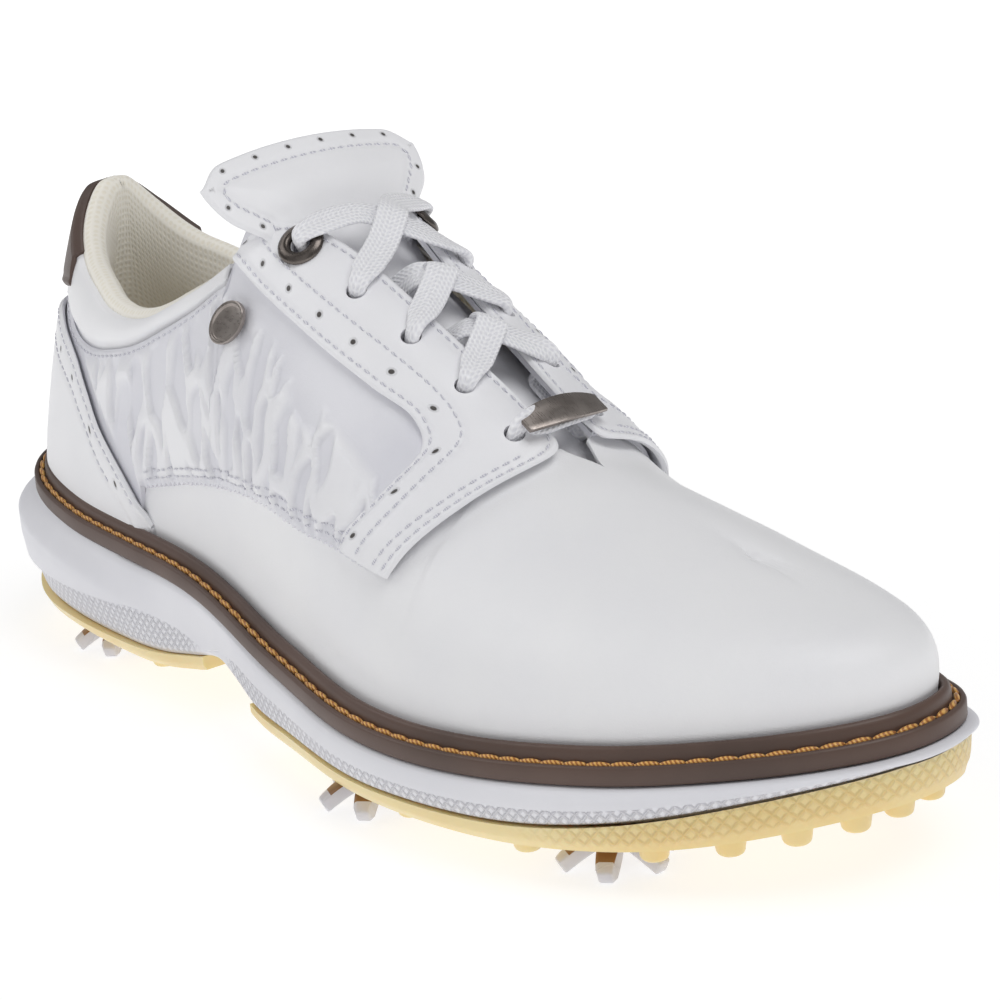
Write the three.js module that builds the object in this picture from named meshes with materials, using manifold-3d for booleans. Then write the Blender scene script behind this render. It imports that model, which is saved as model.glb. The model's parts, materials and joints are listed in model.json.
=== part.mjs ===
// Men's golf shoe, right foot: welted leather upper on a moulded sole with six screw-in cleats.
// Millimetres, +Z up, toe towards +X, inner (medial) side towards +Y.
// The finished group is moved so that its origin is the bottom centre of its bounding box.
//
// Every upper piece lies on one surface, the shape of the last. A point on it has an angle a round
// the sole outline (0 heel, 90 outer waist, 180 toe, 270 inner waist) and a rise t from the feather
// line (0) to the ridge along the top of the foot (1). Depth is measured inwards from it.
import * as THREE from "three";
import { mergeVertices } from "three/addons/utils/BufferGeometryUtils.js";
import Module from "manifold-3d";

const wasm = await Module();
wasm.setup();

// Driving dimensions, millimetres
const weltLength = 298; // sole outline over the welt, heel to toe
const weltWidth = 100; // sole outline over the welt at the ball
const ridgeHeight = 133; // highest point of the last's ridge above the ground
const weltHeight = 7; // welt with its bead
const weltLip = 4; // height of the stitched lip outside the bead
const weltBreadth = 5; // welt from its outer edge to the upper
const leather = 1.4; // upper leather
const lining = 1.0; // textile lining
const stiffener = 1.5; // heel counter and toe puff
const collarFoam = 3.2; // padding inside the collar
const tongueThickness = 2.8; // padded tongue
const sheetGap = 0.8; // clearance between neighbouring curved sheets
const fitGap = 0.5; // clearance between neighbouring moulded pieces
const soleGap = 0.8; // glue line between midsole and outsole, whose faces curve two ways
const boardThickness = 2.2; // insole board
const socklinerThickness = 4; // removable footbed
const shankSize = [92, 14, 1.3]; // spring steel shank: length, width, thickness
const outsoleThickness = 2.9; // TPU plate under the midsole
const lugHeight = 4; // traction lug below the plate
const lugRadius = 3.6; // traction lug at its root
const cleatReach = 13; // cleat centre to leg tip
const cleatHubRadius = 8.4; // cleat flange
const cleatHeight = 8.4; // ground to cleat flange top
const cleatLegs = 6; // legs of one cleat
const stemRadius = 4.6; // cleat stem in its receptacle
const stemLength = 4.6; // cleat stem above the flange
const stemClearance = 0.5; // cleat stem to receptacle wall
const receptacleWall = 4; // receptacle ring wall
const receptacleHeight = 6.4; // receptacle over its cap
const laceRadius = 1.5; // lace, as a round cord of the same section
const eyeletHole = 2.9; // punched lace hole radius
const eyeletRim = 5.5; // metal eyelet outer radius
const jewelSize = [21, 7, 1]; // metal bar on the lowest lace row: length, width, thickness
const tongueRoom = 2 * laceRadius + 1.6; // space for the lace between the quarters and the tongue
const columnStep = 6; // degrees of outline in one facet of a sheet
const soleColumns = 48; // facets round a sole layer
const weltColumns = 48; // facets round the welt

const halfLength = weltLength / 2;
const feather = weltBreadth + 0.6; // inset of the upper's outer face from the welt edge

// Outline of the welt: offset from the long axis every 15 degrees, as a share of the width.
const outline = [
  0, -0.175, -0.3, -0.366, -0.392, -0.414, -0.486, -0.556, -0.536, -0.442, -0.293, -0.13,
  0.03, 0.19, 0.29, 0.352, 0.41, 0.42, 0.37, 0.325, 0.316, 0.322, 0.28, 0.16,
];
// Profiles along the shoe: [share of half the length, value]
const weltRise = [[-1, 40.2], [-0.67, 35], [-0.34, 32], [0, 23.8], [0.34, 20.5], [0.67, 23.5], [1, 29.2]];
const ridge = [
  [-0.79, 0.962], [-0.54, 1], [-0.34, 0.985], [-0.13, 0.902], [0.07, 0.767],
  [0.27, 0.624], [0.4, 0.538], [0.54, 0.494], [0.64, 0.466], [0.71, 0.444],
];
const ridgeSide = [[-0.8, 0], [0, -0.02], [0.4, 0], [0.71, 0.025]];
const fullness = [[-1, 1.4], [-0.74, 1.65], [-0.47, 2.2], [0, 2.2], [0.4, 1.85], [0.67, 2], [1, 2.5]];
const swell = [[-1, -2], [-0.74, -1.5], [-0.27, 1], [0, 1], [0.4, 1.5], [1, 1.5]];
const midsoleBase = [
  [-1, 17], [-0.87, 13.1], [-0.67, 12.3], [-0.5, 12.1], [-0.4, 13.2], [-0.3, 16], [-0.22, 18.4],
  [-0.16, 16.4], [-0.09, 12.6], [0, 11.7], [0.35, 11.5], [0.6, 12.4], [0.8, 15.6], [1, 22.4],
];
const soleSwell = [[-1, 5.5], [-0.7, 4.2], [-0.5, 2.6], [-0.3, -0.5], [0, 0.8], [0.4, 1.6], [1, 2]];
const toeRand = [[0.3, 0], [0.6, 1.2], [0.85, 4], [1, 4.6]];

const heelCleatX = -0.72;
const ballCleatX = 0.19;
const toeCleatX = 0.62;
// [name, share of half the length, share of the width]
const cleatPlaces = [
  ["heel_lateral", heelCleatX, -0.22], ["heel_medial", heelCleatX, 0.19],
  ["ball_lateral", ballCleatX, -0.43], ["ball_medial", ballCleatX, 0.28],
  ["toe_lateral", toeCleatX, -0.3], ["toe_medial", toeCleatX, 0.24],
];
// [angle round the outline, inset from the edge]
const forefootLugs = [
  [98, 8], [108.5, 8], [124, 8], [139, 8], [148, 8], [157, 8], [167, 8], [180, 9], [195, 8],
  [207, 8], [222, 8], [238, 8], [250, 9], [272, 9],
];
const heelLugs = [[8, 10], [26, 9], [60, 8], [300, 8], [335, 9]];

const colours = {
  leather: 0xe9e9ec, cream: 0xf2efe4, brown: 0x57443c, thread: 0xc98f45, foam: 0xdedde4,
  tpu: 0xefdda2, metal: 0x8a827e, board: 0xb9a27f, cleat: 0xe6e6ea, amber: 0x8c6a45,
};
const finish = {
  leather: [0.55, 0], cream: [0.9, 0], brown: [0.6, 0], thread: [0.6, 0], foam: [0.75, 0],
  tpu: [0.45, 0], metal: [0.35, 1], board: [0.9, 0], cleat: [0.4, 0], amber: [0.4, 0],
};

const model = new THREE.Group();

// ---- the last surface ----

// A smooth curve through [x, value] knots.
function along(knots, x) {
  const last = knots.length - 1;
  const at = THREE.MathUtils.clamp(x, knots[0][0], knots[last][0]);
  let i = 0;
  while (i < last - 1 && at > knots[i + 1][0]) i += 1;
  const slope = (m, n) => (knots[n][1] - knots[m][1]) / (knots[n][0] - knots[m][0]);
  const span = knots[i + 1][0] - knots[i][0];
  const from = slope(Math.max(i - 1, 0), i + 1) * span;
  const to = slope(i, Math.min(i + 2, last)) * span;
  const t = (at - knots[i][0]) / span;
  const rise = knots[i + 1][1] - knots[i][1];
  return knots[i][1] + t * from + t * t * (3 * rise - 2 * from - to) + t ** 3 * (from + to - 2 * rise);
}

function outlineSide(a) {
  const n = outline.length;
  const u = (((a % 360) + 360) % 360) / (360 / n);
  const i = Math.floor(u);
  const t = u - i;
  const [p0, p1, p2, p3] = [n - 1, 0, 1, 2].map((k) => outline[(i + k) % n]);
  const bend = 2 * p0 - 5 * p1 + 4 * p2 - p3;
  return 0.5 * weltWidth * (2 * p1 + (p2 - p0) * t + bend * t * t + (3 * p1 - 3 * p2 + p3 - p0) * t ** 3);
}

const station = (a) => -Math.cos(THREE.MathUtils.degToRad(a));

// The outline moved inwards, as a plan point.
function planPoint(a, inset) {
  const step = 0.25;
  const dx = halfLength * (station(a + step) - station(a - step));
  const dy = outlineSide(a + step) - outlineSide(a - step);
  const size = Math.hypot(dx, dy);
  return [halfLength * station(a) - (dy / size) * inset, outlineSide(a) + (dx / size) * inset];
}

// The ridge stops short of the toe and of the heel.
function ridgeStation(s) {
  const toeStart = 0.47;
  const toeRun = 0.242;
  const heelStart = -0.617;
  const heelRun = 0.1745;
  if (s > toeStart) return toeStart + toeRun * (1 - Math.exp((toeStart - s) / toeRun));
  if (s < heelStart) return heelStart - heelRun * (1 - Math.exp((s - heelStart) / heelRun));
  return s;
}

const ridgeSlope = (s) =>
  ((along(ridge, s + 0.005) - along(ridge, s - 0.005)) * ridgeHeight) / (0.01 * halfLength);

function lastPoint(a, t) {
  const s = station(a);
  const [edgeX, edgeY] = planPoint(a, feather);
  const top = ridgeStation(s);
  const x = top * halfLength;
  const y = along(ridgeSide, top) * weltWidth;
  const base = along(weltRise, s) + weltHeight - 1;
  const power = 2 / along(fullness, s);
  const angle = (THREE.MathUtils.clamp(t, 0, 1) * Math.PI) / 2;
  const inward = 1 - Math.max(Math.cos(angle), 0) ** power;
  const up = Math.sin(angle) ** power;
  const reach = Math.max(Math.hypot(edgeX - x, edgeY - y), 1e-6);
  const out = (along(swell, s) * Math.sin(Math.PI * up) * (1 - inward)) / reach;
  const px = edgeX + (x - edgeX) * (inward - out);
  const fan = THREE.MathUtils.smoothstep(s, 0.42, 0.75); // over the toe the ridge's slope carries on
  return new THREE.Vector3(
    px,
    edgeY + (y - edgeY) * (inward - out),
    base + (along(ridge, top) * ridgeHeight - base) * up + ridgeSlope(top) * (px - x) * up ** 4 * fan
      + Math.min(t, 0) * 60,
  );
}

// Outward normal of the last; on the ridge both sides share one normal.
function lastNormal(a, t) {
  const step = 1e-3;
  const round = lastPoint(a + step * 360, t).sub(lastPoint(a - step * 360, t));
  const rise = lastPoint(a, Math.min(t + step, 1)).sub(lastPoint(a, t - step));
  const normal = round.cross(rise).normalize();
  const s = ridgeStation(station(a));
  const crest = new THREE.Vector3(-ridgeSlope(s), 0, 1).normalize();
  return normal.lerp(crest, THREE.MathUtils.smoothstep(t, 0.85, 1)).normalize();
}

function onLast(a, t, depth) {
  return lastPoint(a, t).addScaledVector(lastNormal(a, t), -depth);
}

// ---- solids ----

function solidOf(geometry) {
  const bare = new THREE.BufferGeometry();
  bare.setAttribute("position", geometry.getAttribute("position"));
  bare.setIndex(geometry.getIndex());
  const merged = mergeVertices(bare, 1e-3);
  const triVerts = new Uint32Array(merged.getIndex().array);
  const solid = (order) =>
    new wasm.Manifold(
      new wasm.Mesh({ numProp: 3, vertProperties: merged.getAttribute("position").array, triVerts: order }),
    );
  const made = solid(triVerts);
  return made.volume() > 0 ? made : solid(triVerts.slice().reverse());
}

function geometryOf(solid) {
  const mesh = solid.getMesh();
  const geometry = new THREE.BufferGeometry();
  geometry.setAttribute("position", new THREE.BufferAttribute(new Float32Array(mesh.vertProperties), 3));
  geometry.setIndex(new THREE.BufferAttribute(new Uint32Array(mesh.triVerts), 1));
  geometry.computeVertexNormals();
  return geometry;
}

function add(name, look, solid) {
  const [roughness, metalness] = finish[look];
  const material = new THREE.MeshStandardMaterial({ color: colours[look], roughness, metalness });
  const mesh = new THREE.Mesh(geometryOf(solid), material);
  mesh.name = name;
  model.add(mesh);
}

// Moves every vertex of a geometry, given its place and index.
function deform(geometry, place) {
  const at = geometry.getAttribute("position");
  const uv = geometry.getAttribute("uv");
  for (let i = 0; i < at.count; i += 1) {
    const p = place(new THREE.Vector3().fromBufferAttribute(at, i), uv.getX(i), i);
    at.setXYZ(i, p.x, p.y, p.z);
  }
  return geometry;
}

// A bent slab: v and w run over its face from 0 to 1, and k from its inner to its outer face.
// Side walls where it closes on itself are left out, so that the edges there are one.
function slab(columns, rows, place, closedOn = () => false) {
  const box = new THREE.BoxGeometry(1, 1, 1, columns, rows, 1);
  const corner = new THREE.BufferAttribute(box.getAttribute("position").array.slice(), 3);
  deform(box, (p) => place(p.x + 0.5, p.y + 0.5, p.z + 0.5));
  const index = box.getIndex().array;
  const kept = [];
  for (let i = 0; i < index.length; i += 3) {
    const face = [index[i], index[i + 1], index[i + 2]];
    const onWall = face.map((j) => [corner.getX(j) + 0.5, corner.getY(j) + 0.5]);
    if (!closedOn(onWall)) kept.push(...face);
  }
  box.setIndex(kept);
  return solidOf(box);
}

// A sheet of the upper between two depths, over the region from edge low(v) to edge high(v), where
// each edge gives [a, t]. It welds to itself along the ridge wherever high(v) reaches t = 1.
function sheet(low, high, columns, rows, outer, inner) {
  const depthOf = (depth, a) => (typeof depth === "function" ? depth(a) : depth);
  const place = (v, w, k) => {
    const [from, to] = [low(v), high(v)];
    const a = THREE.MathUtils.lerp(from[0], to[0], w);
    const t = THREE.MathUtils.lerp(from[1], to[1], w);
    return onLast(a, t, THREE.MathUtils.lerp(depthOf(inner, a), depthOf(outer, a), k));
  };
  const atRidge = (face) => face.every(([v, w]) => w > 0.999 && high(v)[1] > 0.9995);
  const ring = Math.abs(low(1)[0] - low(0)[0]) > 359;
  const atEnd = (face) => ring && (face.every(([v]) => v < 0.001) || face.every(([v]) => v > 0.999));
  return slab(columns, rows, place, (face) => atRidge(face) || atEnd(face));
}

// A smooth edge through [a, t] points, for v from 0 to 1.
function edge(points) {
  const curve = new THREE.SplineCurve(points.map(([a, t]) => new THREE.Vector2(a, t)));
  return (v) => curve.getPoint(v).toArray();
}

// The same region on the inner side of the foot.
const inner = (line) => (v) => [360 - line(v)[0], line(v)[1]];

// A region whose sides are given as heights over a range of angles.
const span = (from, to, rise) => (v) => {
  const a = THREE.MathUtils.lerp(from, to, v);
  return [a, rise(a)];
};

const columnsOver = (from, to) => Math.round(Math.abs(to - from) / columnStep);

// Distance in degrees from the heel, or from the toe, on either side.
const fromHeel = (a) => Math.min(Math.abs(a), Math.abs(360 - a));

// A ring round the outline, with a section of [inset, height above the welt's bottom] points.
function outlineRing(section) {
  const closed = [...section, section[0]].map(([x, y]) => new THREE.Vector2(x + 20, y));
  const lathe = new THREE.LatheGeometry(closed, weltColumns);
  return solidOf(
    deform(lathe, (p, turn, i) => {
      const [inset, height] = [closed[i % closed.length].x - 20, p.y];
      const [x, y] = planPoint(turn * 360, inset);
      return new THREE.Vector3(x, y, along(weltRise, station(turn * 360)) + height);
    }),
  );
}

// A sole layer that fills the outline. Rows are [share from spine to edge, outset, 0 bottom or 1 top].
function soleLayer(rows, inset, bottom, top) {
  const profile = rows.map(([share, , level]) => new THREE.Vector2(share, level));
  const lathe = new THREE.LatheGeometry(profile, soleColumns);
  return solidOf(
    deform(lathe, (p, turn, i) => {
      const a = turn * 360;
      const [share, outset, level] = rows[i % rows.length];
      const swellHere = along(soleSwell, station(a)) * outset;
      const [x, y] = planPoint(a, inset - swellHere);
      const spineX = 0.8 * halfLength * station(a);
      const spineY = along(ridgeSide, station(a)) * weltWidth;
      const px = spineX + (x - spineX) * share;
      const rim = THREE.MathUtils.smoothstep(share, 0.85, 1);
      const low = bottom(px / halfLength, rim);
      const z = low + (top(px / halfLength, rim) - low) * level;
      return new THREE.Vector3(px, spineY + (y - spineY) * share, z);
    }),
  );
}

function cylinder(radius, height, x, y, bottom, sides = 12, tip = radius) {
  const made = new THREE.CylinderGeometry(radius, tip, height, sides);
  made.rotateX(Math.PI / 2);
  made.translate(x, y, bottom + height / 2);
  return solidOf(made);
}

// A turned piece on a vertical axis from [radius, height] points that start and end on the axis.
function turned(profile, sides) {
  const lathe = new THREE.LatheGeometry(profile.map(([r, z]) => new THREE.Vector2(r, z)), sides);
  lathe.rotateX(Math.PI / 2);
  return solidOf(lathe);
}

// ---- sole ----

const flatRows = [[0, 0, 0], [0.5, 0, 0], [1, 0, 0], [1, 0, 1], [0.5, 0, 1], [0, 0, 1]];
const wallRows = (foot, middle, head) => [
  [0, 0, 0], [0.5, 0, 0], [0.85, foot, 0], [1, foot, 0], [1, middle, 0.45], [1, head, 1],
  [0.85, head, 1], [0.5, 0, 1], [0, 0, 1],
];

const weltBottom = (s) => along(weltRise, s);
const randRise = (s, rim) => along(toeRand, s) * rim;
const midsoleBottom = (s, rim) => along(midsoleBase, s) + randRise(s, rim);
const outsoleTop = (s, rim) => midsoleBottom(s, rim) - soleGap;
const outsoleBottom = (s) => along(midsoleBase, s) - soleGap - outsoleThickness;

const receptacleRadius = stemRadius + stemClearance + receptacleWall;
const receptacleBottom = cleatHeight + fitGap;
const pocketRadius = receptacleRadius + fitGap;
const pocketTop = receptacleBottom + receptacleHeight + fitGap;
const cleats = cleatPlaces.map(([name, s, side]) => ({ name, x: s * halfLength, y: side * weltWidth }));

const pocketsIn = (solid) =>
  cleats.reduce(
    (rest, { x, y }) => rest.subtract(cylinder(pocketRadius, pocketTop, x, y, 0)),
    solid,
  );

const slice = (solid, from, to) => {
  const box = new THREE.BoxGeometry((to - from) * halfLength, 2 * weltWidth, 4 * ridgeHeight);
  box.translate(((from + to) * halfLength) / 2, 0, 0);
  return solid.intersect(solidOf(box));
};

const midsole = soleLayer(
  wallRows(0.2, 1, 0), 0, midsoleBottom, (s) => weltBottom(s) - fitGap,
);
add("midsole", "foam", pocketsIn(midsole));

const plate = soleLayer(wallRows(-0.3, 0, 0.2), 0, outsoleBottom, outsoleTop);

function outsole(name, from, to, lugs) {
  const body = lugs.reduce((rest, [a, inset]) => {
    const [x, y] = planPoint(a, inset);
    const root = outsoleBottom(x / halfLength);
    const lug = cylinder(lugRadius, lugHeight + 1, x, y, root - lugHeight, 6, lugRadius * 0.75);
    return rest.add(lug);
  }, slice(plate, from, to));
  add(name, "tpu", pocketsIn(body));
}
outsole("outsole_forefoot", -0.1, 2, forefootLugs);
outsole("outsole_heel", -2, -0.27, heelLugs);

const shankBottom = fitGap / 2;
const boardBottom = shankBottom + shankSize[2] + fitGap;
const socklinerBottom = boardBottom + boardThickness + fitGap;
const boardInset = feather + leather + stiffener + collarFoam + lining + 3 * sheetGap + 1;

const shankCentre = -0.3;
const shank = slab(10, 1, (v, w, k) => {
  const x = shankCentre * halfLength + (v - 0.5) * shankSize[0];
  const z = weltBottom(x / halfLength) + shankBottom + k * shankSize[2];
  return new THREE.Vector3(x, along(ridgeSide, x / halfLength) * weltWidth + (w - 0.5) * shankSize[1], z);
});
add("shank", "metal", shank);

function insoleLayer(name, look, bottom, thickness) {
  const low = (s) => weltBottom(s) + bottom;
  add(name, look, soleLayer(flatRows, boardInset, low, (s) => low(s) + thickness));
}
insoleLayer("insole_board", "board", boardBottom, boardThickness);
insoleLayer("sockliner", "cream", socklinerBottom, socklinerThickness);

// The stitches lie in a groove in the lip, between its edge and the bead.
const grooveInset = 1.2;
const grooveWidth = 1.6;
const grooveDepth = 0.9;
const weltSection = [
  [0, 0], [0, weltLip], [grooveInset, weltLip], [grooveInset, weltLip - grooveDepth],
  [grooveInset + grooveWidth, weltLip - grooveDepth], [grooveInset + grooveWidth, weltLip + 0.6],
  [weltBreadth - 1.2, weltHeight], [weltBreadth, weltHeight], [weltBreadth, 0],
];
add("welt", "brown", outlineRing(weltSection));
const threadIn = [grooveInset + 0.3, grooveInset + grooveWidth - 0.3];
const threadUp = [weltLip - grooveDepth + 0.3, weltLip + 0.4];
add("welt_stitching", "thread", outlineRing([
  [threadIn[0], threadUp[0]], [threadIn[0], threadUp[1]], [threadIn[1], threadUp[1]], [threadIn[1], threadUp[0]],
]));

// ---- cleats ----

const legRoot = cleatHubRadius * 0.55;
const legWidth = 4.6;
const legThickness = 3;

function cleatLeg(turn) {
  const leg = slab(1, 2, (v, w, k) => {
    const across = (v - 0.5) * legWidth * (1 - 0.25 * w);
    const out = THREE.MathUtils.lerp(legRoot, cleatReach - legThickness * (1 - k), w);
    const droop = (cleatHeight - legThickness) * w ** 1.6;
    const z = cleatHeight - 1 - legThickness * (1 - k) * (1 - w) - droop - w * (legThickness - 1);
    return new THREE.Vector3(out, across, Math.max(z, 0));
  });
  return leg.rotate([0, 0, turn]);
}

function cleatSolid() {
  const flange = cleatHeight - 2.6;
  const hub = turned([
    [0, flange], [cleatHubRadius * 0.5, flange], [cleatHubRadius, cleatHeight - 1.4], [cleatHubRadius, cleatHeight],
    [stemRadius, cleatHeight], [stemRadius, cleatHeight + stemLength], [0, cleatHeight + stemLength],
  ], 12);
  return Array.from({ length: cleatLegs }, (_, i) => cleatLeg((360 * i) / cleatLegs + 8)).reduce(
    (rest, leg) => rest.add(leg), hub,
  );
}

function receptacleSolid() {
  const bore = stemRadius + stemClearance;
  const top = receptacleBottom + receptacleHeight;
  return turned([
    [0, top - 1], [bore, top - 1], [bore, receptacleBottom], [receptacleRadius, receptacleBottom],
    [receptacleRadius, top], [0, top],
  ], 12);
}

const cleat = cleatSolid();
const receptacle = receptacleSolid();
cleats.forEach(({ name, x, y }) => {
  add("cleat_" + name, "cleat", cleat.translate([x, y, 0]));
  add("receptacle_" + name, "amber", receptacle.translate([x, y, 0]));
});

// ---- upper ----

const depths = { leather: [0, leather], over: [-sheetGap - leather, -sheetGap] };
const stiffenerDepth = [leather + sheetGap, leather + sheetGap + stiffener];
const foamDepth = [leather + sheetGap, leather + sheetGap + collarFoam];
const liningDepth = (a) => {
  const heel = 1 - THREE.MathUtils.smoothstep(fromHeel(a), 68, 88);
  const toe = THREE.MathUtils.smoothstep(fromHeel(a), 122, 136);
  return leather + sheetGap + heel * (collarFoam + sheetGap) + toe * (stiffener + sheetGap);
};

const hiddenFoot = -0.06; // upper sheets run down inside the welt
const overWelt = 0.034; // overlays stop just above the welt
const seamGap = 0.014; // share of the rise between two pieces that meet edge to edge

// Height of the collar's top edge, and of the seam under its padding, by angle from the heel.
const toplineKnots = [
  [0, 0.67], [15, 0.655], [28, 0.58], [40, 0.49], [48, 0.43], [54, 0.37], [60, 0.345], [66, 0.37],
  [72, 0.45], [76, 0.545], [79, 0.66],
];
const collarSeamKnots = [
  [0, 0.44], [28, 0.43], [38, 0.36], [46, 0.32], [53, 0.295], [60, 0.295], [66, 0.335], [72, 0.41], [77, 0.52],
];
const counterKnots = [[0, 0.4], [28, 0.385], [36, 0.35], [44, 0.295], [49, 0.225], [53, 0.149], [60, 0.06]];
const wingKnots = [
  [64, 0.065], [73, 0.107], [86, 0.188], [93, 0.225], [98, 0.27], [104, 0.318], [105.2, 0.36], [106.4, 0.45],
  [107.6, 0.54], [108.6, 0.63], [109.4, 0.74], [110.2, 0.86], [110.8, 0.93],
];
const facingTopKnots = [[79, 0.68], [81, 0.755], [84, 0.82], [90, 0.885], [96, 0.912], [112, 0.925]];

const topline = (a) => along(toplineKnots, fromHeel(a));
const collarSeam = (a) => along(collarSeamKnots, fromHeel(a));
const wingTop = (a) => along(wingKnots, fromHeel(a));
const counterTop = (a) => along(counterKnots, fromHeel(a));
const facingTop = (a) => along(facingTopKnots, fromHeel(a));

// Eyelets from the ankle to the toe, [a, t] on the outer side.
const eyelets = [[84.3, 0.745], [90.9, 0.782], [96.9, 0.815], [102.8, 0.832], [108.4, 0.836]];
const mirrored = ([a, t]) => [360 - a, t];

function punch(solid, places, depth) {
  return places.reduce((rest, [a, t]) => {
    const at = onLast(a, t, 0);
    const tool = new THREE.CylinderGeometry(eyeletHole, eyeletHole, 2 * depth, 7);
    tool.rotateX(Math.PI / 2);
    tool.applyQuaternion(new THREE.Quaternion().setFromUnitVectors(new THREE.Vector3(0, 0, 1), lastNormal(a, t)));
    tool.translate(at.x, at.y, at.z);
    return rest.subtract(solidOf(tool));
  }, solid);
}

// Vamp: the toe in one piece, with a wing down each side under the quarters.
const throat = 114.5; // angle where the vamp closes over the ridge
const vampTop = (a) => (fromHeel(a) < throat ? wingTop(a) - seamGap : 1);
const seamAngles = [104, 105.2, 106.4, 107.6, 108.6, 109.4, 110.2]; // where the quarter meets the vamp
const vampAngles = [66, 73, 80, 87, 93, 99, ...seamAngles, 110.8, 112.6, throat, 120, 127, 134, 142, 150, 158, 166, 173];
const vampRound = [...vampAngles, 180, ...vampAngles.map((a) => 360 - a).reverse()];
const listed = (angles, rise) => (v) => {
  const a = angles[Math.round(v * (angles.length - 1))];
  return [a, rise(a)];
};
add("vamp", "leather", sheet(
  listed(vampRound, () => hiddenFoot), listed(vampRound, vampTop), vampRound.length - 1, 6, ...depths.leather,
));

// Quarters: the sides, from the back seam to the throat, under the facings.
const backSeam = 0.8;
const quarterAngles = [backSeam, 9, 18, 27, 36, 45, 54, 60, 64.5, 70, 74, 76.8, 79, 81, 85, 90, 95, 100, ...seamAngles];
const quarterLow = (a) => (fromHeel(a) < 62 ? hiddenFoot : wingTop(a) + seamGap);
const quarterHigh = (a) => (fromHeel(a) < 77 ? collarSeam(a) - seamGap : facingTop(a) - seamGap);
function quarter(name, side, holes) {
  const low = side(listed(quarterAngles, quarterLow));
  const high = side(listed(quarterAngles, quarterHigh));
  const body = sheet(low, high, quarterAngles.length - 1, 5, ...depths.leather);
  add(name, "leather", punch(body, holes, 3 * leather));
}
const outerSide = (line) => line;
quarter("quarter_lateral", outerSide, eyelets);
quarter("quarter_medial", inner, eyelets.map(mirrored));

// Facings: the lace bands, each with a leg that runs down the front of its quarter.
const facingInside = edge([
  [77.6, 0.575], [83, 0.57], [90, 0.597], [97, 0.638], [101.5, 0.668], [103.6, 0.62], [102, 0.45], [98.8, 0.29],
]);
const facingOutside = edge([
  [79, 0.67], [83, 0.795], [90, 0.88], [99, 0.918], [108, 0.93], [111.6, 0.88], [110, 0.62], [106.4, 0.335],
]);
function facing(name, side, holes) {
  const body = sheet(side(facingInside), side(facingOutside), 18, 3, ...depths.over);
  add(name, "leather", punch(body, holes, 3 * leather));
}
facing("facing_lateral", outerSide, eyelets);
facing("facing_medial", inner, eyelets.map(mirrored));

// Heel: overlay outside, stiff counter inside, pull-on tab above.
function heelSheet(name, look, reach, low, high, rows, faces) {
  const columns = columnsOver(-reach, reach);
  add(name, look, sheet(span(-reach, reach, low), span(-reach, reach, high), columns, rows, ...faces));
}
heelSheet("heel_overlay", "leather", 60, () => overWelt, counterTop, 4, depths.over);
heelSheet("heel_counter", "board", 58, () => -0.02, (a) => Math.min(counterTop(a), 0.26), 3, stiffenerDepth);
heelSheet("heel_tab", "brown", 26, () => 0.43, (a) => topline(a) - 0.01, 3, depths.over);
heelSheet("collar", "leather", 74.5, collarSeam, topline, 2, depths.leather);
heelSheet("collar_foam", "foam", 64, (a) => Math.min(collarSeam(a), 0.3) - 0.015, (a) => topline(a) - 0.02, 2, foamDepth);

// Toe puff between the vamp and its lining.
const puffAngles = [138, 143, 148, 154, 160, 167, 173];
const puffRound = [...puffAngles, 180, ...puffAngles.map((a) => 360 - a).reverse()];
const ridgeTop = () => 1;
add("toe_puff", "board", sheet(
  listed(puffRound, () => -0.02), listed(puffRound, ridgeTop), puffRound.length - 1, 6, ...stiffenerDepth,
));

// Lining: one bootee from the heel to the toe, open at the foot opening and along the throat.
const liningFoot = -0.02;
const liningTop = (a) => {
  const d = fromHeel(a);
  if (d < 77) return topline(a) - 0.01;
  return along([[77, 0.56], [80, 0.66], [112, 0.66], [115, 0.8], [118, 1]], d);
};
const liningAngles = [0, 9, 18, 27, 36, 45, 54, 61, 67, 72, 76, 80, 88, 96, 104, 112, 115, 118];
const liningToe = [124, 130, 136, 143, 150, 158, 166, 173];
const liningHalf = [...liningAngles, ...liningToe];
const liningRound = [...liningHalf, 180, ...liningHalf.map((a) => 360 - a).reverse()];
add("lining", "cream", sheet(
  listed(liningRound, () => liningFoot), listed(liningRound, liningTop), liningRound.length - 1, 5,
  liningDepth, (a) => liningDepth(a) + lining,
));

// ---- tongue ----

const tongueDepth = leather + tongueRoom;
const tongueSide = 0.62; // how far down each side the tongue reaches
const tongueFold = 84; // angle of the line where the tongue folds

const tongueLower = slab(7, 8, (v, w, k) => {
  const a = THREE.MathUtils.lerp(tongueFold + 1.4, 113, v);
  const t = 1 - (1 - tongueSide) * Math.abs(2 * w - 1);
  const depth = tongueDepth + (1 - k) * tongueThickness;
  return onLast(w < 0.5 ? a : 360 - a, t, depth);
});
add("tongue_lower", "leather", tongueLower);

// The free flap stands up from the fold: it widens, then rounds off at its top.
const foldPoint = onLast(tongueFold, 1, tongueDepth);
const flapRise = (58 * Math.PI) / 180;
const flapLength = 27;
const flapWidths = [[0, 8], [0.2, 10], [0.45, 19], [0.7, 27], [0.93, 27], [1, 24]];
const flapDrop = 0.006;
const flap = slab(7, 6, (v, w, k) => {
  const along0 = sheetGap + v * flapLength;
  const across = (2 * w - 1) * along(flapWidths, v);
  const drop = flapDrop * across * across;
  const back = -Math.cos(flapRise);
  const up = Math.sin(flapRise);
  const lift = -drop - (1 - k) * tongueThickness;
  return new THREE.Vector3(
    foldPoint.x + back * along0 + up * lift, foldPoint.y + across, foldPoint.z + up * along0 - back * lift,
  );
});
add("tongue_top", "leather", flap);

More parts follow.
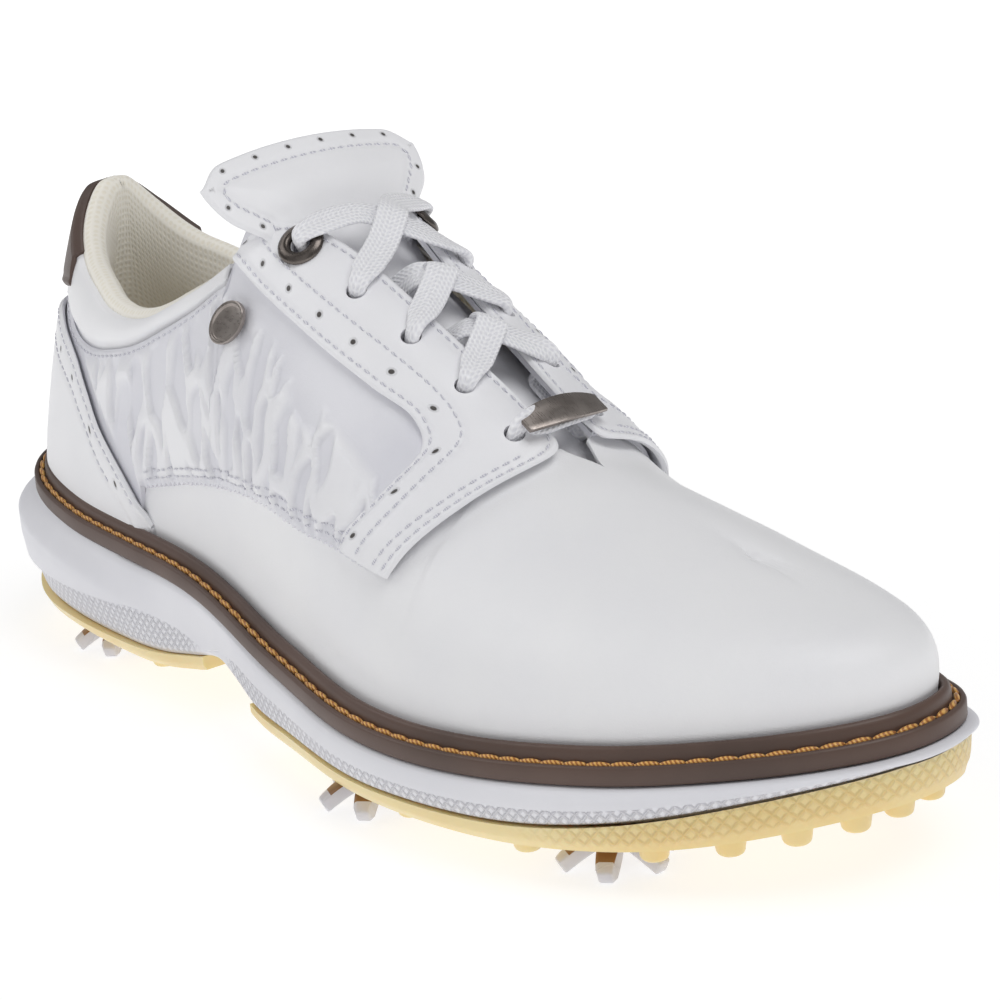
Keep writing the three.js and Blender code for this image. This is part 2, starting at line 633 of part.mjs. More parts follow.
const keeper = slab(3, 4, (v, w, k) => {
  const a = THREE.MathUtils.lerp(92.5, 96.5, v);
  const t = 1 - 0.1 * Math.abs(2 * w - 1);
  return onLast(w < 0.5 ? a : 360 - a, t, tongueDepth - fitGap - k * 1.2);
});
add("tongue_keeper", "leather", keeper);

// ---- lace, eyelets and trim ----

const laceUnder = leather + fitGap + laceRadius;
const laceOver = -sheetGap - leather - fitGap - laceRadius;
const gapEdge = 0.965; // t beside the facing's inner edge
const point = (a, t, depth) => onLast(a, t, depth);

// The lace leaves eyelet k on one side, crosses the tongue and comes up through the next eyelet
// towards the ankle on the other side. One of each pair of crossings lies over the other.
function crossing(k, side, raised, toTop) {
  const [a, t] = eyelets[k];
  const [nextA, nextT] = eyelets[k - 1];
  const here = (angle) => (side > 0 ? angle : 360 - angle);
  const there = (angle) => (side > 0 ? 360 - angle : angle);
  const middle = THREE.MathUtils.lerp(a, nextA, 0.5);
  const points = [
    point(here(a), t, laceUnder), point(here(a), t, 0), point(here(a), t, laceOver - 0.6),
    point(here(THREE.MathUtils.lerp(a, nextA, 0.25)), 0.93, laceOver - 1.4),
    point(here(middle), 1, laceOver - (raised ? 3.6 : 0)),
  ];
  if (toTop) {
    points.push(
      point(there(THREE.MathUtils.lerp(a, nextA, 0.75)), 0.93, laceOver - 1.4),
      point(there(nextA), nextT, laceOver - 1.6), point(there(nextA), nextT, 0), point(there(nextA), nextT, laceUnder),
    );
  } else {
    points.push(
      point(there(THREE.MathUtils.lerp(a, nextA, 0.72)), gapEdge, laceOver + 2.4),
      point(there(THREE.MathUtils.lerp(a, nextA, 0.86)), 0.9, laceUnder + 0.6),
    );
  }
  return points;
}

// The tail runs down inside the shoe between the tongue and the lining.
const tail = (side) =>
  [[83.4, 0.69, 2.2], [80, 0.58, 5.4], [76, 0.5, 6.3], [72, 0.42, 6.7]].map(([a, t, extra]) =>
    point(side > 0 ? a : 360 - a, t, laceUnder + extra),
  );

function halfLace(side) {
  const first = side > 0;
  const under = ([a, t]) => point(first ? a : 360 - a, t, laceUnder);
  const [a5, t5] = eyelets[4];
  const [a4, t4] = eyelets[3];
  return [
    point(first ? a5 : 360 - a5, t5 + 0.02, laceOver - 0.2), point(first ? a5 : 360 - a5, t5, 0), under([a5, t5]),
    under([THREE.MathUtils.lerp(a5, a4, 0.5), (t4 + t5) / 2]),
    ...crossing(3, side, first, false), ...crossing(2, -side, !first, false), ...crossing(1, side, first, true),
    ...tail(-side),
  ];
}
const bar = [point(eyelets[4][0] + 0.6, 0.93, laceOver - 0.6), point(360 - eyelets[4][0] - 0.6, 0.93, laceOver - 0.6)];
const laceRoute = [...halfLace(1).reverse(), ...bar, ...halfLace(-1)];
const laceCurve = new THREE.CatmullRomCurve3(laceRoute, false, "centripetal");
const laceSection = new THREE.Shape().absarc(0, 0, laceRadius, 0, 2 * Math.PI);
const laceTube = new THREE.ExtrudeGeometry(laceSection, { steps: 96, curveSegments: 4, extrudePath: laceCurve });
add("lace", "leather", solidOf(laceTube));

const tipLength = 18;
const tipGap = 0.5;
function laceTip(name, end) {
  const at = laceCurve.getPoint(end);
  const away = laceCurve.getTangent(end).multiplyScalar(end > 0.5 ? 1 : -1);
  const tip = new THREE.CylinderGeometry(laceRadius * 0.8, laceRadius * 0.8, tipLength, 8);
  tip.applyQuaternion(new THREE.Quaternion().setFromUnitVectors(new THREE.Vector3(0, 1, 0), away));
  const middle = at.addScaledVector(away, tipLength / 2 + tipGap);
  tip.translate(middle.x, middle.y, middle.z);
  add(name, "cleat", solidOf(tip));
}
laceTip("lace_tip_medial", 0);
laceTip("lace_tip_lateral", 1);

// A small solid seated on the last, turned so that its own Z is the outward normal.
function seat(solid, a, t, depth, spin = 0) {
  const geometry = geometryOf(solid);
  const turn = new THREE.Quaternion().setFromUnitVectors(new THREE.Vector3(0, 0, 1), lastNormal(a, t));
  geometry.rotateZ(spin);
  geometry.applyQuaternion(turn);
  const at = onLast(a, t, depth);
  geometry.translate(at.x, at.y, at.z);
  return solidOf(geometry);
}

const rimSection = [
  [eyeletHole + 0.8, 0], [eyeletRim, 0], [eyeletRim - 0.6, 0.8], [eyeletHole + 1.1, 0.8], [eyeletHole + 0.8, 0],
];
const eyeletLift = -sheetGap - leather - fitGap;
const [topA, topT] = eyelets[0];
add("eyelet_lateral", "metal", seat(turned(rimSection, 16), topA, topT, eyeletLift));
add("eyelet_medial", "metal", seat(turned(rimSection, 16), 360 - topA, topT, eyeletLift));

const badgeShape = new THREE.Shape();
badgeShape.absellipse(0, 0, 6.5, 4.5, 0, 2 * Math.PI);
const badgePlate = new THREE.ExtrudeGeometry(badgeShape, { depth: 1, bevelEnabled: false, curveSegments: 6 });
add("badge", "metal", seat(solidOf(badgePlate), 79, 0.45, -sheetGap - 0.4));

const jewelBar = new THREE.BoxGeometry(jewelSize[0], jewelSize[1], jewelSize[2], 6, 1, 1);
const jewelAt = laceCurve.getPoint(0.5).add(new THREE.Vector3(0, 0, laceRadius + jewelSize[2] / 2 + fitGap));
jewelBar.rotateZ(Math.PI / 2);
jewelBar.rotateY(0.42);
jewelBar.translate(jewelAt.x + 0.6, jewelAt.y, jewelAt.z);
add("lace_jewel", "metal", solidOf(jewelBar));

// ---- frame ----

const box = new THREE.Box3().setFromObject(model);
const centre = box.getCenter(new THREE.Vector3());
model.position.set(-centre.x, -centre.y, -box.min.z);

export default model;
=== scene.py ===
# Right golf shoe: welted white leather upper on a foam midsole with six twist-in cleats.
# Lengths are millimetres until a mesh is written; the frame itself is in metres.
import json
import math
import bmesh
import bpy
import numpy as np
from mathutils import Matrix, Vector, noise


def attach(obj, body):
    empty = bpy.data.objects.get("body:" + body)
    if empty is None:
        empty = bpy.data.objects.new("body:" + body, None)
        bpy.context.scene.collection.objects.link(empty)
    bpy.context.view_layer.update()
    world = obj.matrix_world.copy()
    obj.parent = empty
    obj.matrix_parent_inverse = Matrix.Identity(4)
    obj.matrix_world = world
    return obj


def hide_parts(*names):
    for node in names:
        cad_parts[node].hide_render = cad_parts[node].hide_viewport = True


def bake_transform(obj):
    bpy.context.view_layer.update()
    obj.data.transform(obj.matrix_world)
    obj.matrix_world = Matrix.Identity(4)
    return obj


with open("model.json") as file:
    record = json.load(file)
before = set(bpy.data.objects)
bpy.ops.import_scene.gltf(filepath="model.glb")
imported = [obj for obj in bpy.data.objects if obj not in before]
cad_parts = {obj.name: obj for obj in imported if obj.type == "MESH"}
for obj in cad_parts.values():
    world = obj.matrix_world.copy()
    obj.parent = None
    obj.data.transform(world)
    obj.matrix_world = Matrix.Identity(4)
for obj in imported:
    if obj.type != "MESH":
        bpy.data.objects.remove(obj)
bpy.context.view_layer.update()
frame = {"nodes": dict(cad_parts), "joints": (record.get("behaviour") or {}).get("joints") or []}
nodes = frame["nodes"]
scene = bpy.context.scene
print("frame loaded:", len(nodes), "nodes")

# ---- the last, the foot shape that every upper piece lies on ----

# A place on it has an angle round the sole (0 heel, 90 outer waist, 180 toe, 270 inner waist)
# and a rise from the feather line (0) to the ridge along the top of the foot (1).
last = {
    "length": 298.0, "width": 100.0, "ridgeHeight": 133.0, "feather": 5.6, "weltHeight": 7.0,
    "outline": [0, -0.175, -0.3, -0.366, -0.392, -0.414, -0.486, -0.556, -0.536, -0.442, -0.293, -0.13,
                0.03, 0.19, 0.29, 0.352, 0.41, 0.42, 0.37, 0.325, 0.316, 0.322, 0.28, 0.16],
    "weltRise": [(-1, 40.2), (-0.67, 35), (-0.34, 32), (0, 23.8), (0.34, 20.5), (0.67, 23.5), (1, 29.2)],
    "ridge": [(-0.79, 0.962), (-0.54, 1), (-0.34, 0.985), (-0.13, 0.902), (0.07, 0.767), (0.27, 0.624),
              (0.4, 0.538), (0.54, 0.494), (0.64, 0.466), (0.71, 0.444)],
    "ridgeSide": [(-0.8, 0), (0, -0.02), (0.4, 0), (0.71, 0.025)],
    "fullness": [(-1, 1.4), (-0.74, 1.65), (-0.47, 2.2), (0, 2.2), (0.4, 1.85), (0.67, 2), (1, 2.5)],
    "swell": [(-1, -2), (-0.74, -1.5), (-0.27, 1), (0, 1), (0.4, 1.5), (1, 1.5)],
}
halfLength = last["length"] / 2
cleatShare = {  # share of half the length, share of the width
    "heel_lateral": (-0.72, -0.22), "heel_medial": (-0.72, 0.19), "ball_lateral": (0.19, -0.43),
    "ball_medial": (0.19, 0.28), "toe_lateral": (0.62, -0.3), "toe_medial": (0.62, 0.24),
}
hinge = next(j for j in frame["joints"] if j["name"] == "cleat_heel_lateral_twist")["pos_m"]
shift = np.array([
    hinge[0] * 1000 - cleatShare["heel_lateral"][0] * halfLength,
    hinge[1] * 1000 - cleatShare["heel_lateral"][1] * last["width"], 0.0,
])


def curveAt(knots, x):
    xs, ys = np.array(knots, float).T
    end = len(xs) - 1
    x = np.clip(x, xs[0], xs[-1])
    i = np.clip(np.searchsorted(xs, x, side="left") - 1, 0, end - 1)
    before, after = np.maximum(i - 1, 0), np.minimum(i + 2, end)
    span = xs[i + 1] - xs[i]
    start = (ys[i + 1] - ys[before]) / (xs[i + 1] - xs[before]) * span
    stop = (ys[after] - ys[i]) / (xs[after] - xs[i]) * span
    t = (x - xs[i]) / span
    rise = ys[i + 1] - ys[i]
    return ys[i] + t * start + t * t * (3 * rise - 2 * start - stop) + t ** 3 * (start + stop - 2 * rise)


def smooth(x, low=0.0, high=1.0):
    t = np.clip((np.asarray(x, float) - low) / (high - low), 0, 1)
    return t * t * (3 - 2 * t)


def station(angle):
    return -np.cos(np.radians(angle))


def outlineSide(angle):
    knots = np.array(last["outline"]) * last["width"]
    u = (np.asarray(angle, float) % 360) / (360 / len(knots))
    i = np.floor(u).astype(int)
    t = u - i
    p0, p1, p2, p3 = (knots[(i + k) % len(knots)] for k in (-1, 0, 1, 2))
    return 0.5 * (2 * p1 + (p2 - p0) * t + (2 * p0 - 5 * p1 + 4 * p2 - p3) * t * t
                  + (3 * p1 - 3 * p2 + p3 - p0) * t ** 3)


def planPoint(angle, inset):
    step = 0.25
    dx = halfLength * (station(angle + step) - station(angle - step))
    dy = outlineSide(angle + step) - outlineSide(angle - step)
    size = np.hypot(dx, dy)
    return halfLength * station(angle) - dy / size * inset, outlineSide(angle) + dx / size * inset


def ridgeStation(s):
    toe = 0.47 + 0.242 * (1 - np.exp((0.47 - np.maximum(s, 0.47)) / 0.242))
    heel = -0.617 - 0.1745 * (1 - np.exp((np.minimum(s, -0.617) + 0.617) / 0.1745))
    return np.where(s > 0.47, toe, np.where(s < -0.617, heel, s))


def ridgeSlope(s):
    rise = curveAt(last["ridge"], s + 0.005) - curveAt(last["ridge"], s - 0.005)
    return rise * last["ridgeHeight"] / (0.01 * halfLength)


def lastPoint(angle, rise):
    s = station(angle)
    edgeX, edgeY = planPoint(angle, last["feather"])
    top = ridgeStation(s)
    x, y = top * halfLength, curveAt(last["ridgeSide"], top) * last["width"]
    base = curveAt(last["weltRise"], s) + last["weltHeight"] - 1
    power = 2 / curveAt(last["fullness"], s)
    turn = np.clip(rise, 0, 1) * math.pi / 2
    inward = 1 - np.maximum(np.cos(turn), 0) ** power
    up = np.sin(turn) ** power
    reach = np.maximum(np.hypot(edgeX - x, edgeY - y), 1e-6)
    out = curveAt(last["swell"], s) * np.sin(math.pi * up) * (1 - inward) / reach
    px = edgeX + (x - edgeX) * (inward - out)
    height = base + (curveAt(last["ridge"], top) * last["ridgeHeight"] - base) * up + np.minimum(rise, 0) * 60
    height = height + ridgeSlope(top) * (px - x) * up ** 4 * smooth(s, 0.42, 0.75)
    return np.stack([px, edgeY + (y - edgeY) * (inward - out), height], -1)


def unit(v):
    return v / np.maximum(np.linalg.norm(v, axis=-1, keepdims=True), 1e-9)


def lastNormal(angle, rise):
    angle, rise = np.broadcast_arrays(np.asarray(angle, float), np.asarray(rise, float))
    step = 1e-3
    around = lastPoint(angle + step * 360, rise) - lastPoint(angle - step * 360, rise)
    upward = lastPoint(angle, np.minimum(rise + step, 1)) - lastPoint(angle, rise - step)
    normal = unit(np.cross(around, upward))
    s = ridgeStation(station(angle))
    slope = ridgeSlope(s)
    crest = unit(np.stack([-slope, np.zeros_like(slope), np.ones_like(slope)], -1))
    share = smooth(rise, 0.85, 1)[..., None]
    return unit(normal * (1 - share) + crest * share)


def onLast(angle, rise, depth):
    angle, rise, depth = np.broadcast_arrays(*(np.asarray(x, float) for x in (angle, rise, depth)))
    return lastPoint(angle, rise) - lastNormal(angle, rise) * depth[..., None]


def splineAt(points, v):
    # a smooth edge through (angle, rise) points, v from 0 to 1
    points = np.array(points, float)
    u = np.clip(np.asarray(v, float), 0, 1) * (len(points) - 1)
    i = np.minimum(u.astype(int), len(points) - 2)
    t = (u - i)[..., None]
    p0, p1 = points[np.maximum(i - 1, 0)], points[i]
    p2, p3 = points[i + 1], points[np.minimum(i + 2, len(points) - 1)]
    v0, v1 = (p2 - p0) / 2, (p3 - p1) / 2
    return (2 * p1 - 2 * p2 + v0 + v1) * t ** 3 + (-3 * p1 + 3 * p2 - 2 * v0 - v1) * t * t + v0 * t + p1


def fromHeel(angle):
    angle = np.asarray(angle, float)
    return np.minimum(np.abs(angle), np.abs(360 - angle))


# ---- meshes ----

def toFrame(points):
    return (np.asarray(points, float) + shift) / 1000


def measured(points):
    # millimetres along the low edge, up from it, and down from the high edge
    across = np.linalg.norm(np.diff(points, axis=0), axis=-1)
    up = np.concatenate([np.zeros((1, points.shape[1])), np.cumsum(across, 0)])
    along = np.linalg.norm(np.diff(points[1:2], axis=1), axis=-1)
    run = np.concatenate([[0], np.cumsum(along[0])])
    return np.broadcast_to(run, up.shape), up, up[-1:] - up


def newObject(name, mesh):
    piece = bpy.data.objects.new(name, mesh)
    scene.collection.objects.link(piece)
    return piece


def gridPiece(name, points, flat=None, flip=False, weld=0.00002, mask=None):
    # a sheet whose points are [row, column] arrays in millimetres; flat is its unrolled place
    rows, columns = points.shape[0] - 1, points.shape[1] - 1
    place = toFrame(points)
    if flat is None:
        run, up, _ = measured(points)
        flat = np.stack([run, up], -1)
    bm = bmesh.new()
    layer = bm.loops.layers.uv.new("surface")
    bmesh.ops.create_grid(bm, x_segments=columns, y_segments=rows, size=0.5)
    keys = [(round((v.co.y + 0.5) * rows), round((v.co.x + 0.5) * columns)) for v in bm.verts]
    band = bm.verts.layers.float.new("band") if mask is not None else None
    for vert, key in zip(bm.verts, keys):
        vert.co = place[key]
        if mask is not None:
            vert[band] = mask[key]
    bm.verts.index_update()
    for face in bm.faces:
        for loop in face.loops:
            loop[layer].uv = flat[keys[loop.vert.index]] / 10  # one unit is 10 mm
    bmesh.ops.remove_doubles(bm, verts=bm.verts, dist=weld)
    if flip:
        bmesh.ops.reverse_faces(bm, faces=bm.faces)
    mesh = bpy.data.meshes.new(name)
    bm.to_mesh(mesh)
    bm.free()
    mesh.shade_smooth()
    return newObject(name, mesh)


def sheetPoints(low, high, columns, rows, depth, spread=None):
    # low and high give [angle, rise] for v from 0 to 1
    v = np.linspace(0, 1, columns + 1)
    w = np.linspace(0, 1, rows + 1) if spread is None else spread(np.linspace(0, 1, rows + 1))
    a = low(v)[None, :, 0] + (high(v) - low(v))[None, :, 0] * w[:, None]
    t = low(v)[None, :, 1] + (high(v) - low(v))[None, :, 1] * w[:, None]
    base = onLast(a, t, 0)
    normal = lastNormal(a, t)
    if callable(depth):
        depth = depth(a, t, *measured(base))
    depth = np.broadcast_to(depth, a.shape)
    return base - normal * depth[..., None], normal, a, t


def turnedIn(points, normal):
    # true when the faces of the grid would point into the shoe
    i, j = points.shape[0] // 2, points.shape[1] // 2
    cross = np.cross(points[i, j + 1] - points[i, j], points[i + 1, j] - points[i, j])
    return float(cross @ normal[i, j]) < 0


def thicken(piece, thickness, bevel=0.35, inward=True):
    solid = piece.modifiers.new("wall", "SOLIDIFY")
    solid.thickness = thickness / 1000
    solid.offset = -1 if inward else 1
    if bevel:
        edge = piece.modifiers.new("edge", "BEVEL")
        edge.width = bevel / 1000
        edge.segments = 2
        edge.limit_method = "ANGLE"
        edge.angle_limit = math.radians(55)
    return piece


def settle(piece):
    # makes the modifiers' result the piece's own mesh
    graph = bpy.context.evaluated_depsgraph_get()
    mesh = bpy.data.meshes.new_from_object(piece.evaluated_get(graph))
    piece.modifiers.clear()
    piece.data = mesh
    return piece


def cutWith(piece, tool):
    cut = piece.modifiers.new("cut", "BOOLEAN")
    cut.operation = "DIFFERENCE"
    cut.solver = "EXACT"
    cut.object = tool
    settle(piece)
    bpy.data.objects.remove(tool)
    return piece


def seatMatrix(place, normal, spin=0.0):
    turn = Vector((0, 0, 1)).rotation_difference(Vector(normal)).to_matrix().to_4x4()
    return Matrix.Translation(Vector(place)) @ turn @ Matrix.Rotation(spin, 4, "Z")


def finishPiece(piece, materials, body="shoe", replaces=()):
    for item in materials if isinstance(materials, (list, tuple)) else [materials]:
        piece.data.materials.append(item)
    if body:
        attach(piece, body)
    if replaces:
        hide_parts(*replaces)
    return piece

# ---- materials ----


def linear(code):
    # sRGB hex to the linear colour the shader wants
    parts = [int(code[i:i + 2], 16) / 255 for i in (1, 3, 5)]
    return [*((c / 12.92 if c <= 0.04045 else ((c + 0.055) / 1.055) ** 2.4) for c in parts), 1.0]


def addNode(tree, kind, links=None, outputs=None, **settings):
    # a node, its input values or links by socket name, and its own settings
    made = tree.nodes.new("ShaderNode" + kind)
    for key, value in settings.items():
        setattr(made, key, value)
    for key, value in (links or {}).items():
        if hasattr(value, "is_output"):
            tree.links.new(value, made.inputs[key])
        else:
            made.inputs[key].default_value = value
    return made


def newMaterial(name, values):
    material = bpy.data.materials.new(name)
    material.use_nodes = True
    shader = material.node_tree.nodes["Principled BSDF"]
    for key, value in values.items():
        shader.inputs[key].default_value = value
    return material, material.node_tree, shader


def objectPlace(tree, scale=(1, 1, 1), turn=(0, 0, 0)):
    coords = addNode(tree, "TexCoord")
    return addNode(tree, "Mapping", {"Vector": coords.outputs["Object"], "Scale": scale, "Rotation": turn}).outputs[0]


def surfacePlace(tree, scale=(1, 1, 1)):
    # the piece's own unrolled place, one unit to 10 mm
    flat = addNode(tree, "UVMap", uv_map="surface")
    return addNode(tree, "Mapping", {"Vector": flat.outputs["UV"], "Scale": scale}).outputs[0]


def colourBetween(tree, factor, first, second, low=0.0, high=1.0):
    ramp = addNode(tree, "ValToRGB", {"Fac": factor})
    ramp.color_ramp.elements[0].position, ramp.color_ramp.elements[1].position = low, high
    ramp.color_ramp.elements[0].color, ramp.color_ramp.elements[1].color = linear(first), linear(second)
    return ramp.outputs["Color"]


def valueBetween(tree, factor, first, second, low=0.0, high=1.0):
    return addNode(tree, "MapRange", {
        "Value": factor, "From Min": low, "From Max": high, "To Min": first, "To Max": second,
    }).outputs["Result"]


def leatherMaterial(name, values, hide, crease, rough, grain=0.75, height=0.05, coat=0.12):
    # full-grain leather under a thin polyurethane finish: pebbled pores 0.6 to 0.9 mm across, fine
    # creases, a soft highlight that the finish sharpens a little
    material, tree, shader = newMaterial(name, {"Coat Weight": coat, "Coat Roughness": 0.35, **values})
    place = objectPlace(tree)
    pores = addNode(tree, "TexVoronoi", {"Vector": place, "Scale": 1000 / grain, "Randomness": 0.9},
                    feature="DISTANCE_TO_EDGE")
    creases = addNode(tree, "TexNoise", {"Vector": place, "Scale": 420.0, "Detail": 4.0, "Distortion": 0.7})
    broad = addNode(tree, "TexNoise", {"Vector": place, "Scale": 38.0, "Detail": 3.0})
    relief = addNode(tree, "Math", {0: valueBetween(tree, pores.outputs["Distance"], 0, 1, 0, 0.12),
                                    1: creases.outputs["Fac"]}, operation="MULTIPLY_ADD")
    relief.inputs[2].default_value = 0.0
    bump = addNode(tree, "Bump", {"Height": relief.outputs[0], "Strength": 0.55, "Distance": height / 1000})
    tree.links.new(bump.outputs["Normal"], shader.inputs["Normal"])
    tree.links.new(colourBetween(tree, broad.outputs["Fac"], crease, hide, 0.3, 0.62), shader.inputs["Base Color"])
    tree.links.new(valueBetween(tree, broad.outputs["Fac"], rough + 0.07, rough - 0.05, 0.3, 0.7),
                   shader.inputs["Roughness"])
    return material


def punchedHoles(material, pitch, line, radius, start=0.5):
    # round holes punched along the piece's edge, with a pressed rim; the inside of each hole is painted near black as
    # painted shade
    tree = material.node_tree
    shader = tree.nodes["Principled BSDF"]
    flat = addNode(tree, "SeparateXYZ", {"Vector": surfacePlace(tree)})
    along = addNode(tree, "Math", {0: flat.outputs["X"], 1: pitch / 10}, operation="DIVIDE")
    beside = addNode(tree, "Math", {0: along.outputs[0], 1: start}, operation="ADD")
    whole = addNode(tree, "Math", {0: beside.outputs[0]}, operation="FRACT")
    dx = addNode(tree, "Math", {0: whole.outputs[0], 1: 0.5}, operation="SUBTRACT")
    dxWide = addNode(tree, "Math", {0: dx.outputs[0], 1: pitch / 10}, operation="MULTIPLY")
    dy = addNode(tree, "Math", {0: flat.outputs["Y"], 1: line / 10}, operation="SUBTRACT")
    both = addNode(tree, "CombineXYZ", {"X": dxWide.outputs[0], "Y": dy.outputs[0]})
    reach = addNode(tree, "VectorMath", {0: both.outputs[0]}, operation="LENGTH")
    inside = valueBetween(tree, reach.outputs["Value"], 1, 0, radius * 0.085, radius * 0.115)
    pressed = valueBetween(tree, reach.outputs["Value"], 0, 1, radius * 0.07, radius * 0.18)
    old = shader.inputs["Base Color"].links[0].from_socket
    mixed = addNode(tree, "Mix", {"Factor": inside}, data_type="RGBA")
    tree.links.new(old, mixed.inputs[6])
    # painted shade: the near-black colour stands in for the shadow inside the hole
    mixed.inputs[7].default_value = linear("#4a4644")
    tree.links.new(mixed.outputs[2], shader.inputs["Base Color"])
    oldBump = shader.inputs["Normal"].links[0].from_socket
    bump = addNode(tree, "Bump", {"Height": pressed, "Strength": 0.9, "Distance": 0.0006, "Normal": oldBump})
    tree.links.new(bump.outputs["Normal"], shader.inputs["Normal"])
    return material


# Corrected-grain cowhide with a white polyurethane finish
whiteLook = {"Specular IOR Level": 0.5, "Subsurface Weight": 0.0}
whiteLeather = leatherMaterial("whiteCowhide", whiteLook, "#f2f2f4", "#efeff2", 0.46)
quarterLeather = leatherMaterial("embossedCowhide", whiteLook, "#f1f1f4", "#e8e8ed", 0.42, grain=0.9)


def paintValleyShade(material, dark):
    # painted shade: the hide's colour is multiplied a little darker in the pressed ground between the raised veins,
    # where shade falls
    tree, shader = material.node_tree, material.node_tree.nodes["Principled BSDF"]
    hide = shader.inputs["Base Color"].links[0].from_socket
    band = addNode(tree, "Attribute", attribute_name="band").outputs["Fac"]
    shade = addNode(tree, "MixRGB", {"Fac": valueBetween(tree, band, 1.0, 0.0, 0.0, 0.7), "Color1": hide,
                                     "Color2": linear(dark)}, blend_type="MULTIPLY")
    tree.links.new(shade.outputs["Color"], shader.inputs["Base Color"])
    return material


# painted shade in the valleys of the embossed quarters
paintValleyShade(quarterLeather, "#f3f3f6")
facingLeather = punchedHoles(
    leatherMaterial("punchedFacingCowhide", whiteLook, "#f2f2f5", "#eeeef2", 0.45), 11.2, 5.5, 0.62)
counterLeather = punchedHoles(
    leatherMaterial("punchedCounterCowhide", whiteLook, "#f1f1f4", "#eeeef1", 0.46), 12.5, 5.2, 0.6)
tongueLeather = punchedHoles(
    leatherMaterial("whiteNappa", whiteLook, "#f3f3f6", "#efeff2", 0.48, grain=0.65, height=0.035), 9.0, 2.6, 0.5)
brownLeather = leatherMaterial("brownCowhide", {"Specular IOR Level": 0.5}, "#55443d", "#463730", 0.5, coat=0.08)


def knitMaterial(name, light, dark, pitch, rough=0.95, height=0.35):
    # warp-knitted spacer mesh: staggered round openings over a soft matt face; the openings are painted darker as
    # painted shade inside them
    material, tree, shader = newMaterial(name, {"Roughness": rough, "Sheen Weight": 0.35, "Sheen Roughness": 0.6})
    place = surfacePlace(tree, (10 / pitch, 10 / pitch, 1))
    cells = addNode(tree, "TexVoronoi", {"Vector": place, "Scale": 1.0, "Randomness": 0.12}, feature="F1",
                    voronoi_dimensions="2D")
    fuzz = addNode(tree, "TexNoise", {"Vector": objectPlace(tree), "Scale": 900.0, "Detail": 3.0})
    hole = valueBetween(tree, cells.outputs["Distance"], 0, 1, 0.16, 0.42)
    bump = addNode(tree, "Bump", {"Height": hole, "Strength": 0.8, "Distance": height / 1000})
    fine = addNode(tree, "Bump", {"Height": fuzz.outputs["Fac"], "Strength": 0.4, "Distance": 0.0001,
                                  "Normal": bump.outputs["Normal"]})
    tree.links.new(fine.outputs["Normal"], shader.inputs["Normal"])
    # painted shade: darker where the bump sinks into each opening
    tree.links.new(colourBetween(tree, hole, dark, light), shader.inputs["Base Color"])
    return material


liningKnit = knitMaterial("polyesterSpacerMesh", "#f4efe2", "#dccfb4", 2.6)
collarKnit = knitMaterial("brushedTricot", "#f6f2e8", "#efe9da", 1.6, height=0.12)
footbedKnit = knitMaterial("footbedTextile", "#efe8d6", "#dccfae", 2.2, height=0.25)


def rubberMaterial(name, light, dark, rough, grain=260.0, height=0.05, coat=0.0, values=None):
    # moulded rubber or foam: a matt skin with the fine sand texture of its mould
    material, tree, shader = newMaterial(name, {"Coat Weight": coat, "Coat Roughness": 0.3, **(values or {})})
    place = objectPlace(tree)
    sand = addNode(tree, "TexNoise", {"Vector": place, "Scale": grain * 5, "Detail": 2.0})
    broad = addNode(tree, "TexNoise", {"Vector": place, "Scale": 30.0, "Detail": 4.0})
    bump = addNode(tree, "Bump", {"Height": sand.outputs["Fac"], "Strength": 0.35, "Distance": height / 1000})
    tree.links.new(bump.outputs["Normal"], shader.inputs["Normal"])
    tree.links.new(colourBetween(tree, broad.outputs["Fac"], dark, light, 0.3, 0.65), shader.inputs["Base Color"])
    tree.links.new(valueBetween(tree, broad.outputs["Fac"], rough + 0.06, rough - 0.06, 0.3, 0.7),
                   shader.inputs["Roughness"])
    return material


def mouldedDimples(material, pitch, depth, shade, dimpleShadeColour):
    # rows of small staggered dimples moulded into the band that the mesh marks; the band is also painted darker, most
    # away from each dimple's centre, as painted shade for the relief
    tree = material.node_tree
    shader = tree.nodes["Principled BSDF"]
    place = surfacePlace(tree, (10 / pitch, 10 / pitch, 1))
    turned = addNode(tree, "Mapping", {"Vector": place, "Rotation": (0, 0, math.radians(45))}).outputs[0]
    cells = addNode(tree, "TexVoronoi", {"Vector": turned, "Scale": 1.0, "Randomness": 0.0}, feature="F1",
                    voronoi_dimensions="2D", distance="CHEBYCHEV")
    bandHere = addNode(tree, "Attribute", attribute_name="band").outputs["Fac"]
    pit = valueBetween(tree, cells.outputs["Distance"], 0, 1, 0.24, 0.46)
    raised = addNode(tree, "Math", {0: pit, 1: bandHere}, operation="MULTIPLY")
    oldBump = shader.inputs["Normal"].links[0].from_socket
    bump = addNode(tree, "Bump", {"Height": raised.outputs[0], "Strength": 0.75, "Distance": depth / 1000,
                                  "Normal": oldBump})
    tree.links.new(bump.outputs["Normal"], shader.inputs["Normal"])
    old = shader.inputs["Base Color"].links[0].from_socket
    # painted shade: the band's colour is darkened with the relief height
    dark = addNode(tree, "Math", {0: raised.outputs[0], 1: shade}, operation="MULTIPLY")
    mixed = addNode(tree, "Mix", {"Factor": dark.outputs[0]}, data_type="RGBA")
    tree.links.new(old, mixed.inputs[6])
    mixed.inputs[7].default_value = linear(dimpleShadeColour)
    tree.links.new(mixed.outputs[2], shader.inputs["Base Color"])
    return material
